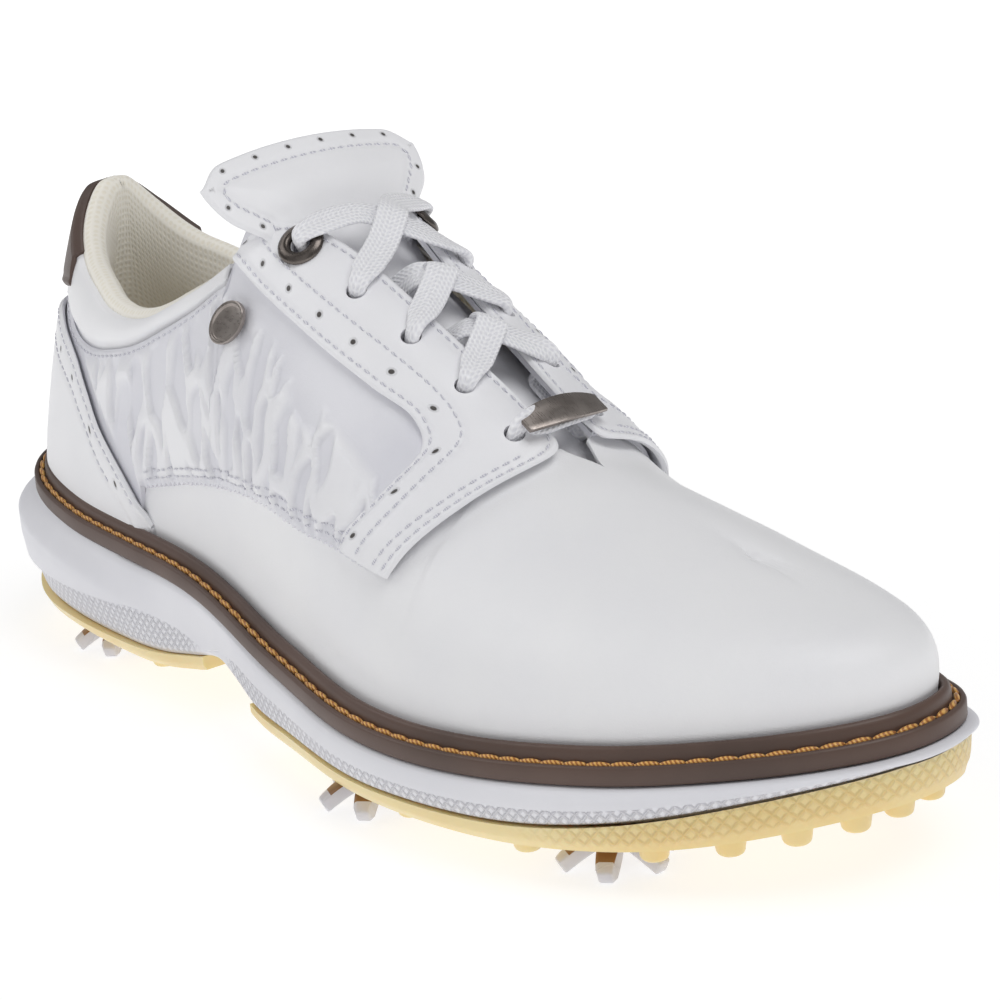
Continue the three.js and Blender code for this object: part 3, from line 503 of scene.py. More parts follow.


# the grey and amber dimple colours below are painted shade for the moulded texture
foam = mouldedDimples(rubberMaterial("whiteEvaFoam", "#ececf1", "#e4e4ea", 0.55), 1.9, 0.5, 0.4, "#b9b8bf")
tpu = mouldedDimples(
    rubberMaterial("amberTpu", "#f5e0a8", "#efd290", 0.36, coat=0.25,
                   values={"Subsurface Weight": 0.25, "Subsurface Radius": (0.004, 0.0028, 0.0012),
                           "Subsurface Scale": 1.0}),
    2.3, 0.4, 0.35, "#e0b968")
weltRubber = rubberMaterial("brownRubber", "#5d473d", "#4c3a32", 0.5, coat=0.1)
nylon = rubberMaterial("amberNylon", "#a9835c", "#94704c", 0.4)
cleatClear = rubberMaterial("clearTpu", "#eceaee", "#dddbe2", 0.28, coat=0.3,
                            values={"Subsurface Weight": 0.35, "Subsurface Radius": (0.003, 0.003, 0.003),
                                    "Subsurface Scale": 1.0, "Transmission Weight": 0.15})
cleatAmber = rubberMaterial("amberPolyamide", "#9c7144", "#835c36", 0.32, coat=0.2)
fibreboard = rubberMaterial("celluloseBoard", "#c4ac86", "#ab946f", 0.9, grain=120.0, height=0.2)


def threadMaterial(name, light, dark, twist, rough, sheen):
    # three-ply twisted thread, waxed: slanting plies with a glossy crest; the plies are painted lighter along their
    # crests and darker between them, as painted highlight and painted shade
    material, tree, shader = newMaterial(name, {"Roughness": rough, "Sheen Weight": sheen})
    place = objectPlace(tree)
    plies = addNode(tree, "TexWave", {"Vector": place, "Scale": twist, "Distortion": 1.5, "Detail": 1.0},
                    wave_type="BANDS", bands_direction="DIAGONAL")
    bump = addNode(tree, "Bump", {"Height": plies.outputs["Fac"], "Strength": 0.6, "Distance": 0.0001})
    tree.links.new(bump.outputs["Normal"], shader.inputs["Normal"])
    # painted highlight on the ply crests and painted shade between plies
    tree.links.new(colourBetween(tree, plies.outputs["Fac"], dark, light, 0.2, 0.8), shader.inputs["Base Color"])
    return material


goldThread = threadMaterial("waxedGoldThread", "#e9b35f", "#a8682a", 480.0, 0.34, 0.2)
# the white thread is painted grey as painted shade for stitches sunk in their holes
whiteThread = threadMaterial("whiteNylonThread", "#e4e4ea", "#c4c4cf", 700.0, 0.5, 0.3)


def laceMaterial():
    # flat tubular polyester lace: a herringbone of 1 mm plaits across its width, painted darker where the weave is low
    # as painted shade
    material, tree, shader = newMaterial("braidedPolyester", {"Roughness": 0.72, "Sheen Weight": 0.5,
                                                               "Sheen Roughness": 0.5})
    flat = addNode(tree, "SeparateXYZ", {"Vector": surfacePlace(tree)})
    middle = addNode(tree, "Math", {0: flat.outputs["Y"], 1: 0.0}, operation="ABSOLUTE")
    slant = addNode(tree, "Math", {0: middle.outputs[0], 1: 0.9, 2: flat.outputs["X"]}, operation="MULTIPLY_ADD")
    plait = addNode(tree, "Math", {0: slant.outputs[0], 1: 10 / 1.15 * 2 * math.pi}, operation="MULTIPLY")
    wave = addNode(tree, "Math", {0: plait.outputs[0]}, operation="SINE")
    across = addNode(tree, "Math", {0: flat.outputs["Y"], 1: 10 / 1.0 * 2 * math.pi}, operation="MULTIPLY")
    ribs = addNode(tree, "Math", {0: across.outputs[0]}, operation="COSINE")
    both = addNode(tree, "Math", {0: wave.outputs[0], 1: ribs.outputs[0]}, operation="ADD")
    height = valueBetween(tree, both.outputs[0], 0, 1, -2, 2)
    bump = addNode(tree, "Bump", {"Height": height, "Strength": 0.85, "Distance": 0.0003})
    tree.links.new(bump.outputs["Normal"], shader.inputs["Normal"])
    # painted shade: colour follows the weave height, darker in the grooves
    tree.links.new(colourBetween(tree, height, "#e6e6ec", "#f9f9fc", 0.1, 0.75), shader.inputs["Base Color"])
    return material


lacePolyester = laceMaterial()


def metalMaterial(name, light, dark, rough, scratch):
    # cast zinc with a brushed gunmetal plating: fine parallel lines that stretch the highlight
    material, tree, shader = newMaterial(name, {"Metallic": 1.0, "Anisotropic": 0.35})
    place = objectPlace(tree, (1, 12, 1))
    lines = addNode(tree, "TexNoise", {"Vector": place, "Scale": scratch, "Detail": 3.0})
    broad = addNode(tree, "TexNoise", {"Vector": objectPlace(tree), "Scale": 160.0, "Detail": 3.0})
    bump = addNode(tree, "Bump", {"Height": lines.outputs["Fac"], "Strength": 0.25, "Distance": 0.00004})
    tree.links.new(bump.outputs["Normal"], shader.inputs["Normal"])
    tree.links.new(colourBetween(tree, broad.outputs["Fac"], dark, light, 0.35, 0.65), shader.inputs["Base Color"])
    tree.links.new(valueBetween(tree, lines.outputs["Fac"], rough - 0.06, rough + 0.1, 0.3, 0.7),
                   shader.inputs["Roughness"])
    return material


gunmetal = metalMaterial("gunmetalZinc", "#a8a09b", "#8b837e", 0.3, 520.0)
darkGunmetal = metalMaterial("darkNickel", "#77706c", "#5a5450", 0.28, 520.0)
springSteel = metalMaterial("springSteel", "#9b9a99", "#868584", 0.36, 300.0)
print("materials made:", len(bpy.data.materials))

# ---- sole ----

sole = {
    "base": [(-1, 17), (-0.87, 13.1), (-0.67, 12.3), (-0.5, 12.1), (-0.4, 13.2), (-0.3, 16), (-0.22, 18.4),
             (-0.16, 16.4), (-0.09, 12.6), (0, 11.7), (0.35, 11.5), (0.6, 12.4), (0.8, 15.6), (1, 22.4)],
    "swell": [(-1, 5.5), (-0.7, 4.2), (-0.5, 2.6), (-0.3, -0.5), (0, 0.8), (0.4, 1.6), (1, 2)],
    "toeRand": [(0.3, 0), (0.6, 1.2), (0.85, 4), (1, 4.6)],
    "gap": 0.8, "plate": 2.9, "columns": 420, "forefootStart": -0.1, "heelEnd": -0.27,
    # height of the edge between the dimpled foot and the smooth wall, as a share of the wall
    "crease": [(-1, 0.36), (-0.75, 0.37), (-0.55, 0.44), (-0.46, 0.5), (-0.36, 0.4), (-0.25, 0.1), (-0.2, 0.25),
               (-0.1, 0.52), (0.3, 0.5), (1, 0.42)],
    "ridge": [(-1, 0.82), (-0.8, 0.76), (-0.6, 0.66), (-0.46, 0.52), (-0.4, 0.5)],
}
lugs = {
    "height": 4.0, "radius": 3.6,
    "forefoot": [(98, 8), (108.5, 8), (124, 8), (139, 8), (148, 8), (157, 8), (167, 8), (180, 9), (195, 8),
                 (207, 8), (222, 8), (238, 8), (250, 9), (272, 9)],
    "heel": [(8, 10), (26, 9), (60, 8), (300, 8), (335, 9)],
}


def weltBottom(s):
    return curveAt(last["weltRise"], s)


def soleBottom(s, rim):
    return curveAt(sole["base"], s) + curveAt(sole["toeRand"], s) * rim


def soleRows(share, inset, level, bottom, top):
    # share runs from the spine of the sole to its edge
    angle = np.linspace(0, 360, sole["columns"] + 1)
    share = np.asarray(share, float)[:, None] * np.ones_like(angle)
    x, y = planPoint(angle[None, :] + share * 0, inset)
    spineX = 0.8 * halfLength * station(angle)
    spineY = curveAt(last["ridgeSide"], station(angle)) * last["width"]
    px = spineX + (x - spineX) * share
    rim = smooth(share, 0.85, 1)
    low = bottom(px / halfLength, rim)
    z = low + (top(px / halfLength, rim) - low) * level
    return np.stack([px, spineY + (y - spineY) * share, z], -1)


def midsoleWall(height, s):
    # how far the wall stands out of the welt's outline, in millimetres
    swell = curveAt(sole["swell"], s)
    crease, ridge = curveAt(sole["crease"], s), curveAt(sole["ridge"], s)
    heel = smooth(s, -0.42, -0.62)
    below = height < crease
    foot = 0.3 + 0.55 * swell * (height / np.maximum(crease, 0.05)) ** 0.8
    bulge = swell * np.where(height < ridge, 0.86 + 0.14 * smooth(height, crease, 0.62),
                             1 - 0.98 * smooth(height, ridge - 0.02, 1.0) ** 0.85)
    atHeel = np.where(below, foot - 0.35, bulge)
    plain = np.maximum(swell, 0) * np.sin(np.clip(height, 0, 1) * math.pi) ** 0.7
    hollow = np.minimum(swell, 0) * np.sin(np.clip(height, 0, 1) * math.pi)
    atFront = np.where(below, plain * 0.7 - 0.15, plain + 0.25 * smooth(1 - height, 0, 0.2)) + hollow
    return atHeel * heel + atFront * (1 - heel)


def makeMidsole():
    angle = np.linspace(0, 360, sole["columns"] + 1)
    s = station(angle)
    crease = curveAt(sole["crease"], s)
    top = lambda x, rim: weltBottom(x) - 0.3
    wall = np.concatenate([np.linspace(0, 0.98, 12), [0.999, 1.03], np.linspace(1.08, 2, 20)])
    # 0 to 1 is the dimpled foot, 1 to 2 the smooth wall over it
    height = np.where(wall[:, None] < 1, wall[:, None] * crease, crease + (wall[:, None] - 1) * (1 - crease))
    out = midsoleWall(height, s[None, :])
    corner = 0.7 * (1 - smooth(height, 0, 0.08)) + 0.6 * smooth(height, 0.93, 1)
    side = soleRows(np.ones(len(wall)), corner - out, height, soleBottom, top)
    under = soleRows([0, 0.5, 0.8, 0.93], -0.1, 0, soleBottom, top)
    over = soleRows([0.97, 0.85, 0.5, 0], 0.6, 1, soleBottom, top)
    points = np.concatenate([under, side, over])
    around = np.linalg.norm(np.diff(side[5:6], axis=1), axis=-1)[0]
    run = np.concatenate([[0], np.cumsum(around)])
    up = np.concatenate([np.full((4, 1), -5.0) + 0 * run, side[:, :, 2] - side[:1, :, 2],
                         np.full((4, 1), 40.0) + 0 * run])
    arch = smooth(s, -0.33, -0.27) * (1 - smooth(s, -0.2, -0.14))
    foot = (1 - smooth(height, crease * 0.9, crease * 0.99)) * smooth(height, 0.02, 0.07) * (1 - arch)
    band = np.concatenate([np.zeros((4, len(s))), foot, np.zeros((4, len(s)))])
    flat = np.stack([np.broadcast_to(run, up.shape), up], -1)
    piece = gridPiece("midsoleFoam", points, flat, mask=band)
    return piece


def pocketTool(tops, radius=9.6):
    # one cutter for every cleat's socket
    bm = bmesh.new()
    for share in cleatShare.values():
        place = toFrame([share[0] * halfLength, share[1] * last["width"], 0])
        bmesh.ops.create_cone(bm, cap_ends=True, segments=48, radius1=radius / 1000, radius2=radius / 1000,
                              depth=tops / 1000 * 2, matrix=Matrix.Translation(Vector(place)))
    mesh = bpy.data.meshes.new("pocketTool")
    bm.to_mesh(mesh)
    bm.free()
    return newObject("pocketTool", mesh)


def makeTread(name, start, end, places, replaced):
    bottom = lambda x, rim: curveAt(sole["base"], x) - sole["gap"] - sole["plate"]
    top = lambda x, rim: soleBottom(x, rim) - sole["gap"] + 0.55
    edge = np.linspace(0, 1, 7)
    swell = curveAt(sole["swell"], station(np.linspace(0, 360, sole["columns"] + 1)))
    shares = [0, 0.4, 0.7, 0.86, 0.95]
    side = soleRows(np.ones(7), 0.9 * (1 - smooth(edge, 0, 0.45))[:, None] - 0.35 * np.maximum(swell, 0) * edge[:, None],
                    edge[:, None], bottom, top)
    points = np.concatenate([soleRows(shares, 1.2, 0, bottom, top), side, soleRows([0.93, 0.5, 0], 0, 1, bottom, top)])
    around = np.linalg.norm(np.diff(side[3:4], axis=1), axis=-1)[0]
    run = np.concatenate([[0], np.cumsum(around)])
    up = np.concatenate([np.full((5, 1), -3.0) + 0 * run, side[:, :, 2] - side[:1, :, 2], np.full((3, 1), 9.0) + 0 * run])
    rand = curveAt(sole["toeRand"], station(np.linspace(0, 360, sole["columns"] + 1)))
    band = np.concatenate([np.zeros((5, len(run))), smooth(rand, 0.8, 2.2) * smooth(edge, 0.12, 0.3)[:, None],
                           np.zeros((3, len(run)))])
    piece = gridPiece(name, points, np.stack([np.broadcast_to(run, up.shape), up], -1), mask=band)
    bm = bmesh.new()
    bm.from_mesh(piece.data)
    for share, side in ((start, -1), (end, 1)):
        plane = toFrame([share * halfLength, 0, 0])
        cut = bmesh.ops.bisect_plane(bm, geom=bm.verts[:] + bm.edges[:] + bm.faces[:], plane_co=plane,
                                     plane_no=(side, 0, 0), clear_outer=True)
        rim = [g for g in cut["geom_cut"] if isinstance(g, bmesh.types.BMEdge)]
        if rim:
            bmesh.ops.edgeloop_fill(bm, edges=rim)
    bm.to_mesh(piece.data)
    bm.free()
    cutWith(piece, pocketTool(15.8))
    bm = bmesh.new()
    bm.from_mesh(piece.data)
    for angle, inset in places:
        x, y = planPoint(angle, inset)
        root = curveAt(sole["base"], x / halfLength) - sole["gap"] - sole["plate"]
        place = Matrix.Translation(Vector(toFrame([x, y, root - lugs["height"] / 2 + 0.4])))
        made = bmesh.ops.create_cone(bm, cap_ends=True, segments=20, radius1=lugs["radius"] * 0.00078,
                                     radius2=lugs["radius"] / 1000, depth=(lugs["height"] + 0.8) / 1000, matrix=place)
        low = min(v.co.z for v in made["verts"])
        foot = [e for e in {e for v in made["verts"] for e in v.link_edges}
                if all(v.co.z < low + 1e-5 for v in e.verts)]
        bmesh.ops.bevel(bm, geom=foot, offset=0.0009, offset_type="OFFSET", segments=3, profile=0.5,
                        affect="EDGES", material=-1)
    bm.to_mesh(piece.data)
    bm.free()
    piece.data.shade_smooth()
    piece.data.set_sharp_from_angle(angle=math.radians(42))
    finishPiece(piece, tpu, replaces=[replaced])
    return piece


midsole = makeMidsole()
cutWith(midsole, pocketTool(15.8))
midsole.data.set_sharp_from_angle(angle=math.radians(50))
finishPiece(midsole, foam, replaces=["midsole"])
makeTread("treadForefoot", sole["forefootStart"], 2, lugs["forefoot"], "outsole_forefoot")
makeTread("treadHeel", -2, sole["heelEnd"], lugs["heel"], "outsole_heel")
print("sole made")


# the welt's section: (inset from the outline, height over the welt's bottom)
welt = {
    "section": [(4.9, 0.1), (0.5, 0.0), (0.12, 0.15), (0.0, 0.6), (0.05, 3.4), (0.3, 3.9), (0.8, 4.05), (1.15, 4.0),
                (1.3, 3.7), (1.5, 3.2), (2.0, 3.05), (2.5, 3.2), (2.75, 3.75), (2.85, 4.4), (3.0, 5.6), (3.25, 6.5),
                (3.7, 6.95), (4.3, 7.0), (4.8, 6.7), (5.0, 6.1), (5.0, 1.0), (4.9, 0.1)],
    "columns": 480, "stitchPitch": 5.2, "stitchInset": 2.05, "stitchHeight": 3.75,
}


def ringPoints(section, columns):
    angle = np.linspace(0, 360, columns + 1)
    rows = []
    for inset, height in section:
        x, y = planPoint(angle, inset)
        rows.append(np.stack([x, y, weltBottom(station(angle)) + height], -1))
    return np.array(rows)


def makeWelt():
    points = ringPoints(welt["section"], welt["columns"])
    piece = gridPiece("weltStrip", points)
    piece.data.set_sharp_from_angle(angle=math.radians(60))
    return finishPiece(piece, weltRubber, replaces=["welt"])


def evenly(points, pitch):
    # places a pitch apart along a line of points, with the direction there
    steps = np.linalg.norm(np.diff(points, axis=0), axis=1)
    run = np.concatenate([[0], np.cumsum(steps)])
    count = max(int(run[-1] / pitch), 1)
    at = (np.arange(count) + 0.5) * run[-1] / count
    place = np.stack([np.interp(at, run, points[:, k]) for k in range(3)], -1)
    ahead = np.stack([np.interp(np.minimum(at + 0.3, run[-1]), run, points[:, k]) for k in range(3)], -1)
    behind = np.stack([np.interp(np.maximum(at - 0.3, 0), run, points[:, k]) for k in range(3)], -1)
    return place, unit(ahead - behind), at / run[-1]


def stitchMesh(name, rows, size, sides=(8, 6), tilt=0.0):
    # rows are (points, normals, pitch); each stitch is a small grain of thread, half sunk in its hole
    long, wide, high = size
    turns = []
    for points, normals, pitch in rows:
        place, ahead, share = evenly(points, pitch)
        normal = np.stack([np.interp(share, np.linspace(0, 1, len(normals)), normals[:, k]) for k in range(3)], -1)
        for p, t, n in zip(toFrame(place), ahead, normal):
            n = unit(n - t * (n @ t))
            side = np.cross(n, t)
            t2 = t * math.cos(tilt) + side * math.sin(tilt)
            s2 = np.cross(n, t2)
            turns.append(Matrix([[t2[i] * long / 2000, s2[i] * wide / 2000, n[i] * high / 2000, p[i]]
                                 for i in range(3)] + [[0, 0, 0, 1]]))
    whole = bmesh.new()
    for first in range(0, len(turns), 40):
        bm = bmesh.new()
        for turn in turns[first:first + 40]:
            bmesh.ops.create_uvsphere(bm, u_segments=sides[0], v_segments=sides[1], radius=1.0, matrix=turn)
        group = bpy.data.meshes.new("stitchGroup")
        bm.to_mesh(group)
        bm.free()
        whole.from_mesh(group)
        bpy.data.meshes.remove(group)
    mesh = bpy.data.meshes.new(name)
    whole.to_mesh(mesh)
    whole.free()
    mesh.shade_smooth()
    return newObject(name, mesh)


def makeWeltStitches():
    angle = np.linspace(0, 360, 900)
    x, y = planPoint(angle, welt["stitchInset"])
    line = np.stack([x, y, weltBottom(station(angle)) + welt["stitchHeight"]], -1)
    normal = np.tile([0.0, 0.0, 1.0], (len(angle), 1))
    piece = stitchMesh("weltThread", [(line, normal, welt["stitchPitch"])], (5.6, 1.35, 1.5), (10, 8), tilt=0.1)
    return finishPiece(piece, goldThread, replaces=["welt_stitching"])


makeWelt()
makeWeltStitches()
print("welt made")


# ---- cleats ----

cleat = {"legs": 6, "start": 8.0, "reach": 13.0, "hub": 8.4, "height": 8.4, "stem": 4.6, "stemLength": 4.6,
         "legWidth": 4.6, "legThickness": 3.0}


def makeCleat(name, centre):
    bm = bmesh.new()
    for k in range(cleat["legs"]):
        turn = math.radians(cleat["start"] + 360 / cleat["legs"] * k)
        made = bmesh.ops.create_cube(bm, size=1.0)
        edges = list({e for v in made["verts"] for e in v.link_edges})
        long = [e for e in edges if abs(e.verts[0].co.x - e.verts[1].co.x) > 0.5]
        cut = bmesh.ops.subdivide_edges(bm, edges=long, cuts=7, use_grid_fill=True)
        verts = {v for f in bm.faces for v in f.verts if not v.tag}
        for vert in verts:
            vert.tag = True
            w, across, k2 = vert.co.x + 0.5, vert.co.y, vert.co.z + 0.5
            wide = cleat["legWidth"] * (1 - 0.3 * w) * (1 + 0.12 * math.sin(w * math.pi))
            out = 4.4 + (cleat["reach"] - cleat["legThickness"] * (1 - k2) * w * 0.5 - 4.4) * w
            top = cleat["height"] - 1.2 - (cleat["height"] - 4.0) * w ** 1.5
            bottom = max(cleat["height"] - 4.4 - (cleat["height"] - 4.4) * w ** 1.15, 0.0)
            z = bottom + (top - bottom) * k2
            y = across * wide
            vert.co = Vector((out * math.cos(turn) - y * math.sin(turn), out * math.sin(turn) + y * math.cos(turn), z)) / 1000
    legs = list(bm.faces)
    sharp = [e for e in bm.edges if len(e.link_faces) == 2 and e.calc_face_angle(0) > 0.9]
    bmesh.ops.bevel(bm, geom=sharp, offset=0.00055, offset_type="OFFSET", segments=3, profile=0.5,
                    affect="EDGES", material=-1)
    for face in bm.faces:  # the amber inlay covers the upper face of each leg
        centre0 = face.calc_center_median() * 1000
        reach = math.hypot(centre0.x, centre0.y)
        face.material_index = 1 if face.normal.z > 0.25 and reach < 11.2 else 0
    profile = [(0, 5.4), (4.2, 5.4), (8.0, 6.9), (8.4, 7.3), (8.4, 8.1), (8.1, 8.4), (4.6, 8.4), (4.6, 12.7), (4.3, 13.0), (0, 13.0)]
    start = [bm.verts.new(Vector((r, 0, z)) / 1000) for r, z in profile]
    line = [bm.edges.new(pair) for pair in zip(start, start[1:])]
    before = set(bm.faces)
    bmesh.ops.spin(bm, geom=start + line, cent=(0, 0, 0), axis=(0, 0, 1), angle=2 * math.pi, steps=40, use_merge=True)
    hub = [f for f in bm.faces if f not in before]
    bmesh.ops.remove_doubles(bm, verts=list({v for f in hub for v in f.verts}), dist=1e-6)
    hub = [f for f in bm.faces if f.is_valid and f not in before]
    bmesh.ops.recalc_face_normals(bm, faces=hub)
    for face in hub:
        face.material_index = 1
    bmesh.ops.translate(bm, verts=bm.verts, vec=Vector(centre))
    mesh = bpy.data.meshes.new(name)
    bm.to_mesh(mesh)
    bm.free()
    mesh.shade_smooth()
    mesh.set_sharp_from_angle(angle=math.radians(40))
    return newObject(name, mesh)


for place, share in cleatShare.items():
    centre = toFrame([share[0] * halfLength, share[1] * last["width"], 0])
    spike = makeCleat("cleatSpike_" + place, centre)
    finishPiece(spike, [cleatClear, cleatAmber], body="cleat_" + place, replaces=["cleat_" + place])
print("cleats made")


# ---- upper ----

# edges of the upper's pieces as (angle from the heel, rise)
seams = {
    "topline": [(0, 0.67), (15, 0.655), (28, 0.58), (40, 0.49), (48, 0.43), (54, 0.37), (60, 0.345), (66, 0.37),
                (72, 0.45), (76, 0.545), (79, 0.66)],
    "collarSeam": [(0, 0.44), (28, 0.43), (38, 0.36), (46, 0.32), (53, 0.295), (60, 0.295), (66, 0.335),
                   (72, 0.41), (77, 0.52)],
    "counter": [(0, 0.4), (28, 0.385), (36, 0.35), (44, 0.295), (49, 0.225), (53, 0.149), (58.5, 0.07), (63.5, 0.005)],
    "wing": [(58, 0.05), (64, 0.065), (73, 0.107), (86, 0.188), (93, 0.225), (98, 0.27), (104, 0.318),
             (105.2, 0.36), (106.4, 0.45), (107.6, 0.54), (108.6, 0.63), (109.4, 0.74), (110.2, 0.86), (110.8, 0.93)],
    "facingTop": [(79, 0.68), (81, 0.755), (84, 0.82), (90, 0.885), (96, 0.912), (112, 0.925)],
    "facingInside": [(77.6, 0.575), (83, 0.57), (90, 0.597), (97, 0.638), (101.5, 0.668), (103.6, 0.62),
                     (102, 0.45), (98.8, 0.29)],
    "facingOutside": [(79, 0.67), (83, 0.795), (90, 0.88), (99, 0.918), (108, 0.93), (111.6, 0.88),
                      (110, 0.62), (106.4, 0.335)],
    "eyelets": [(84.3, 0.745), (90.9, 0.782), (96.9, 0.815), (102.8, 0.832), (108.4, 0.836)],
}
layers = {"leather": 1.4, "overlay": -2.2, "lining": 2.2, "foam": 3.2, "gap": 0.8, "stiffener": 1.5, "hidden": -0.03}


def seamRise(name, angle):
    return curveAt(seams[name], fromHeel(angle))


def mirrorEdge(edge, inner):
    # the same edge on the inner side of the foot
    if not inner:
        return edge
    return lambda v: np.stack([360 - edge(v)[..., 0], edge(v)[..., 1]], -1)


def overAngles(start, end, rise):
    def edge(v):
        angle = start + (end - start) * np.asarray(v, float)
        return np.stack([angle, rise(angle) * np.ones_like(angle)], -1)
    return edge


def rolled(distance, radius=0.9):
    # how far a cut edge turns down
    return radius * (1 - smooth(distance, 0, radius * 1.3)) ** 2


def offsetLine(points, normal, distance, fromTop=False, lift=0.0):
    # a line across a sheet at a distance from its low or its high edge
    ordered, sides = (points[::-1], normal[::-1]) if fromTop else (points, normal)
    steps = np.linalg.norm(np.diff(ordered, axis=0), axis=-1)
    run = np.concatenate([np.zeros((1, steps.shape[1])), np.cumsum(steps, 0)])
    found, facing = [], []
    for j in range(ordered.shape[1]):
        found.append([np.interp(distance, run[:, j], ordered[:, j, k]) for k in range(3)])
        facing.append([np.interp(distance, run[:, j], sides[:, j, k]) for k in range(3)])
    facing = unit(np.array(facing))
    return np.array(found) + facing * lift, facing


thread = {"size": (2.0, 0.62, 0.52), "pitch": 2.6, "lift": 0.08}
stitchRows = []


def sewAlong(points, normal, distance, fromTop=False, part=(0.0, 1.0)):
    line, facing = offsetLine(points, normal, distance, fromTop, thread["lift"])
    first, end = (int(round(p * (len(line) - 1))) for p in part)
    stitchRows.append((line[first:end + 1], facing[first:end + 1], thread["pitch"]))


def seamDip(distance, lines, depth=0.22, width=0.9):
    # leather pulled down along its rows of stitches
    return sum(depth * np.exp(-((distance - at) / width) ** 2) for at in lines)


def holeTool(places, radius, length=9.0, inner=False):
    bm = bmesh.new()
    for angle, rise in places:
        angle = 360 - angle if inner else angle
        place = toFrame(onLast(angle, rise, 0))
        bmesh.ops.create_cone(bm, cap_ends=True, segments=24, radius1=radius / 1000, radius2=radius / 1000,
                              depth=length / 1000, matrix=seatMatrix(place, lastNormal(angle, rise)))
    mesh = bpy.data.meshes.new("holeTool")
    bm.to_mesh(mesh)
    bm.free()
    return newObject("holeTool", mesh)


# Vamp: the toe and the two wings under the quarters
vamp = {"start": 58.0, "columns": 420, "rows": 60, "throat": 114.5, "under": 0.02}


def makeVamp():
    turn = vamp["throat"]

    def top(angle):
        d = fromHeel(angle)
        rise = seamRise("wing", angle) + vamp["under"] * (1 - smooth(d, 98, 104))
        return np.where(d > 109.5, np.maximum(rise, 0.9) + (1 - np.maximum(rise, 0.9)) * smooth(d, 109.5, turn) ** 1.4,
                        np.minimum(rise, 1))

    low = overAngles(vamp["start"], 360 - vamp["start"], lambda a: layers["hidden"])
    high = overAngles(vamp["start"], 360 - vamp["start"], top)

    def depth(a, t, run, up, down):
        d = fromHeel(a)
        under = 1.15 * (1 - smooth(d, 104, 128)) * smooth(t, -0.02, 0.06)
        crease = 0.28 * np.exp(-((t - 0.62 - 0.002 * (d - 118)) / 0.2) ** 2)
        wave = np.sin(d * 0.55 + 3 * t) * smooth(d, 112, 118) * (1 - smooth(d, 126, 136))
        return under + 0.35 * crease * wave

    points, normal, a, t = sheetPoints(low, high, vamp["columns"], vamp["rows"], depth)
    run, up, _ = measured(points)
    piece = gridPiece("vampLeather", points, np.stack([run, up], -1), flip=turnedIn(points, normal), weld=0.00012)
    bm = bmesh.new()
    bm.from_mesh(piece.data)
    ridgeEnd = toFrame([0.62 * halfLength, 2.4, 0])
    near = [v for v in bm.verts if not v.is_boundary and v.co.z > 0.045
            and math.hypot((v.co.x - ridgeEnd[0]) * 0.7, v.co.y - ridgeEnd[1]) < 0.03]
    for _ in range(90):
        bmesh.ops.smooth_vert(bm, verts=near, factor=0.5, use_axis_x=False, use_axis_y=False, use_axis_z=True)
    bm.to_mesh(piece.data)
    bm.free()
    thicken(piece, 0.75, 0.2)
    return finishPiece(piece, whiteLeather, replaces=["vamp"])


# Quarters: the sides, embossed with raised veins, over a pinked lower edge
quarter = {"start": 0.8, "end": 110.6, "columns": 460, "rows": 96, "tooth": 2.3, "toothDepth": 1.15,
           "reliefHeight": 1.3, "cell": (5.4, 12.0), "vein": 0.25}


def veinHeight(along, up, seed):
    # raised veins between stretched cells, broken here and there
    warp = Vector((along / 7, up / 7, seed))
    bend = noise.noise_vector(warp) * 0.4
    cell = Vector((along / quarter["cell"][0] + bend.x, up / quarter["cell"][1] + bend.y, seed * 3.1))
    near, far = noise.voronoi(cell)[0][:2]
    vein = 1 - float(smooth(far - near, 0.1, quarter["vein"]))
    kept = float(smooth(noise.noise(Vector((along / 11, up / 9, seed + 5))), -0.42, -0.16))
    return vein * kept


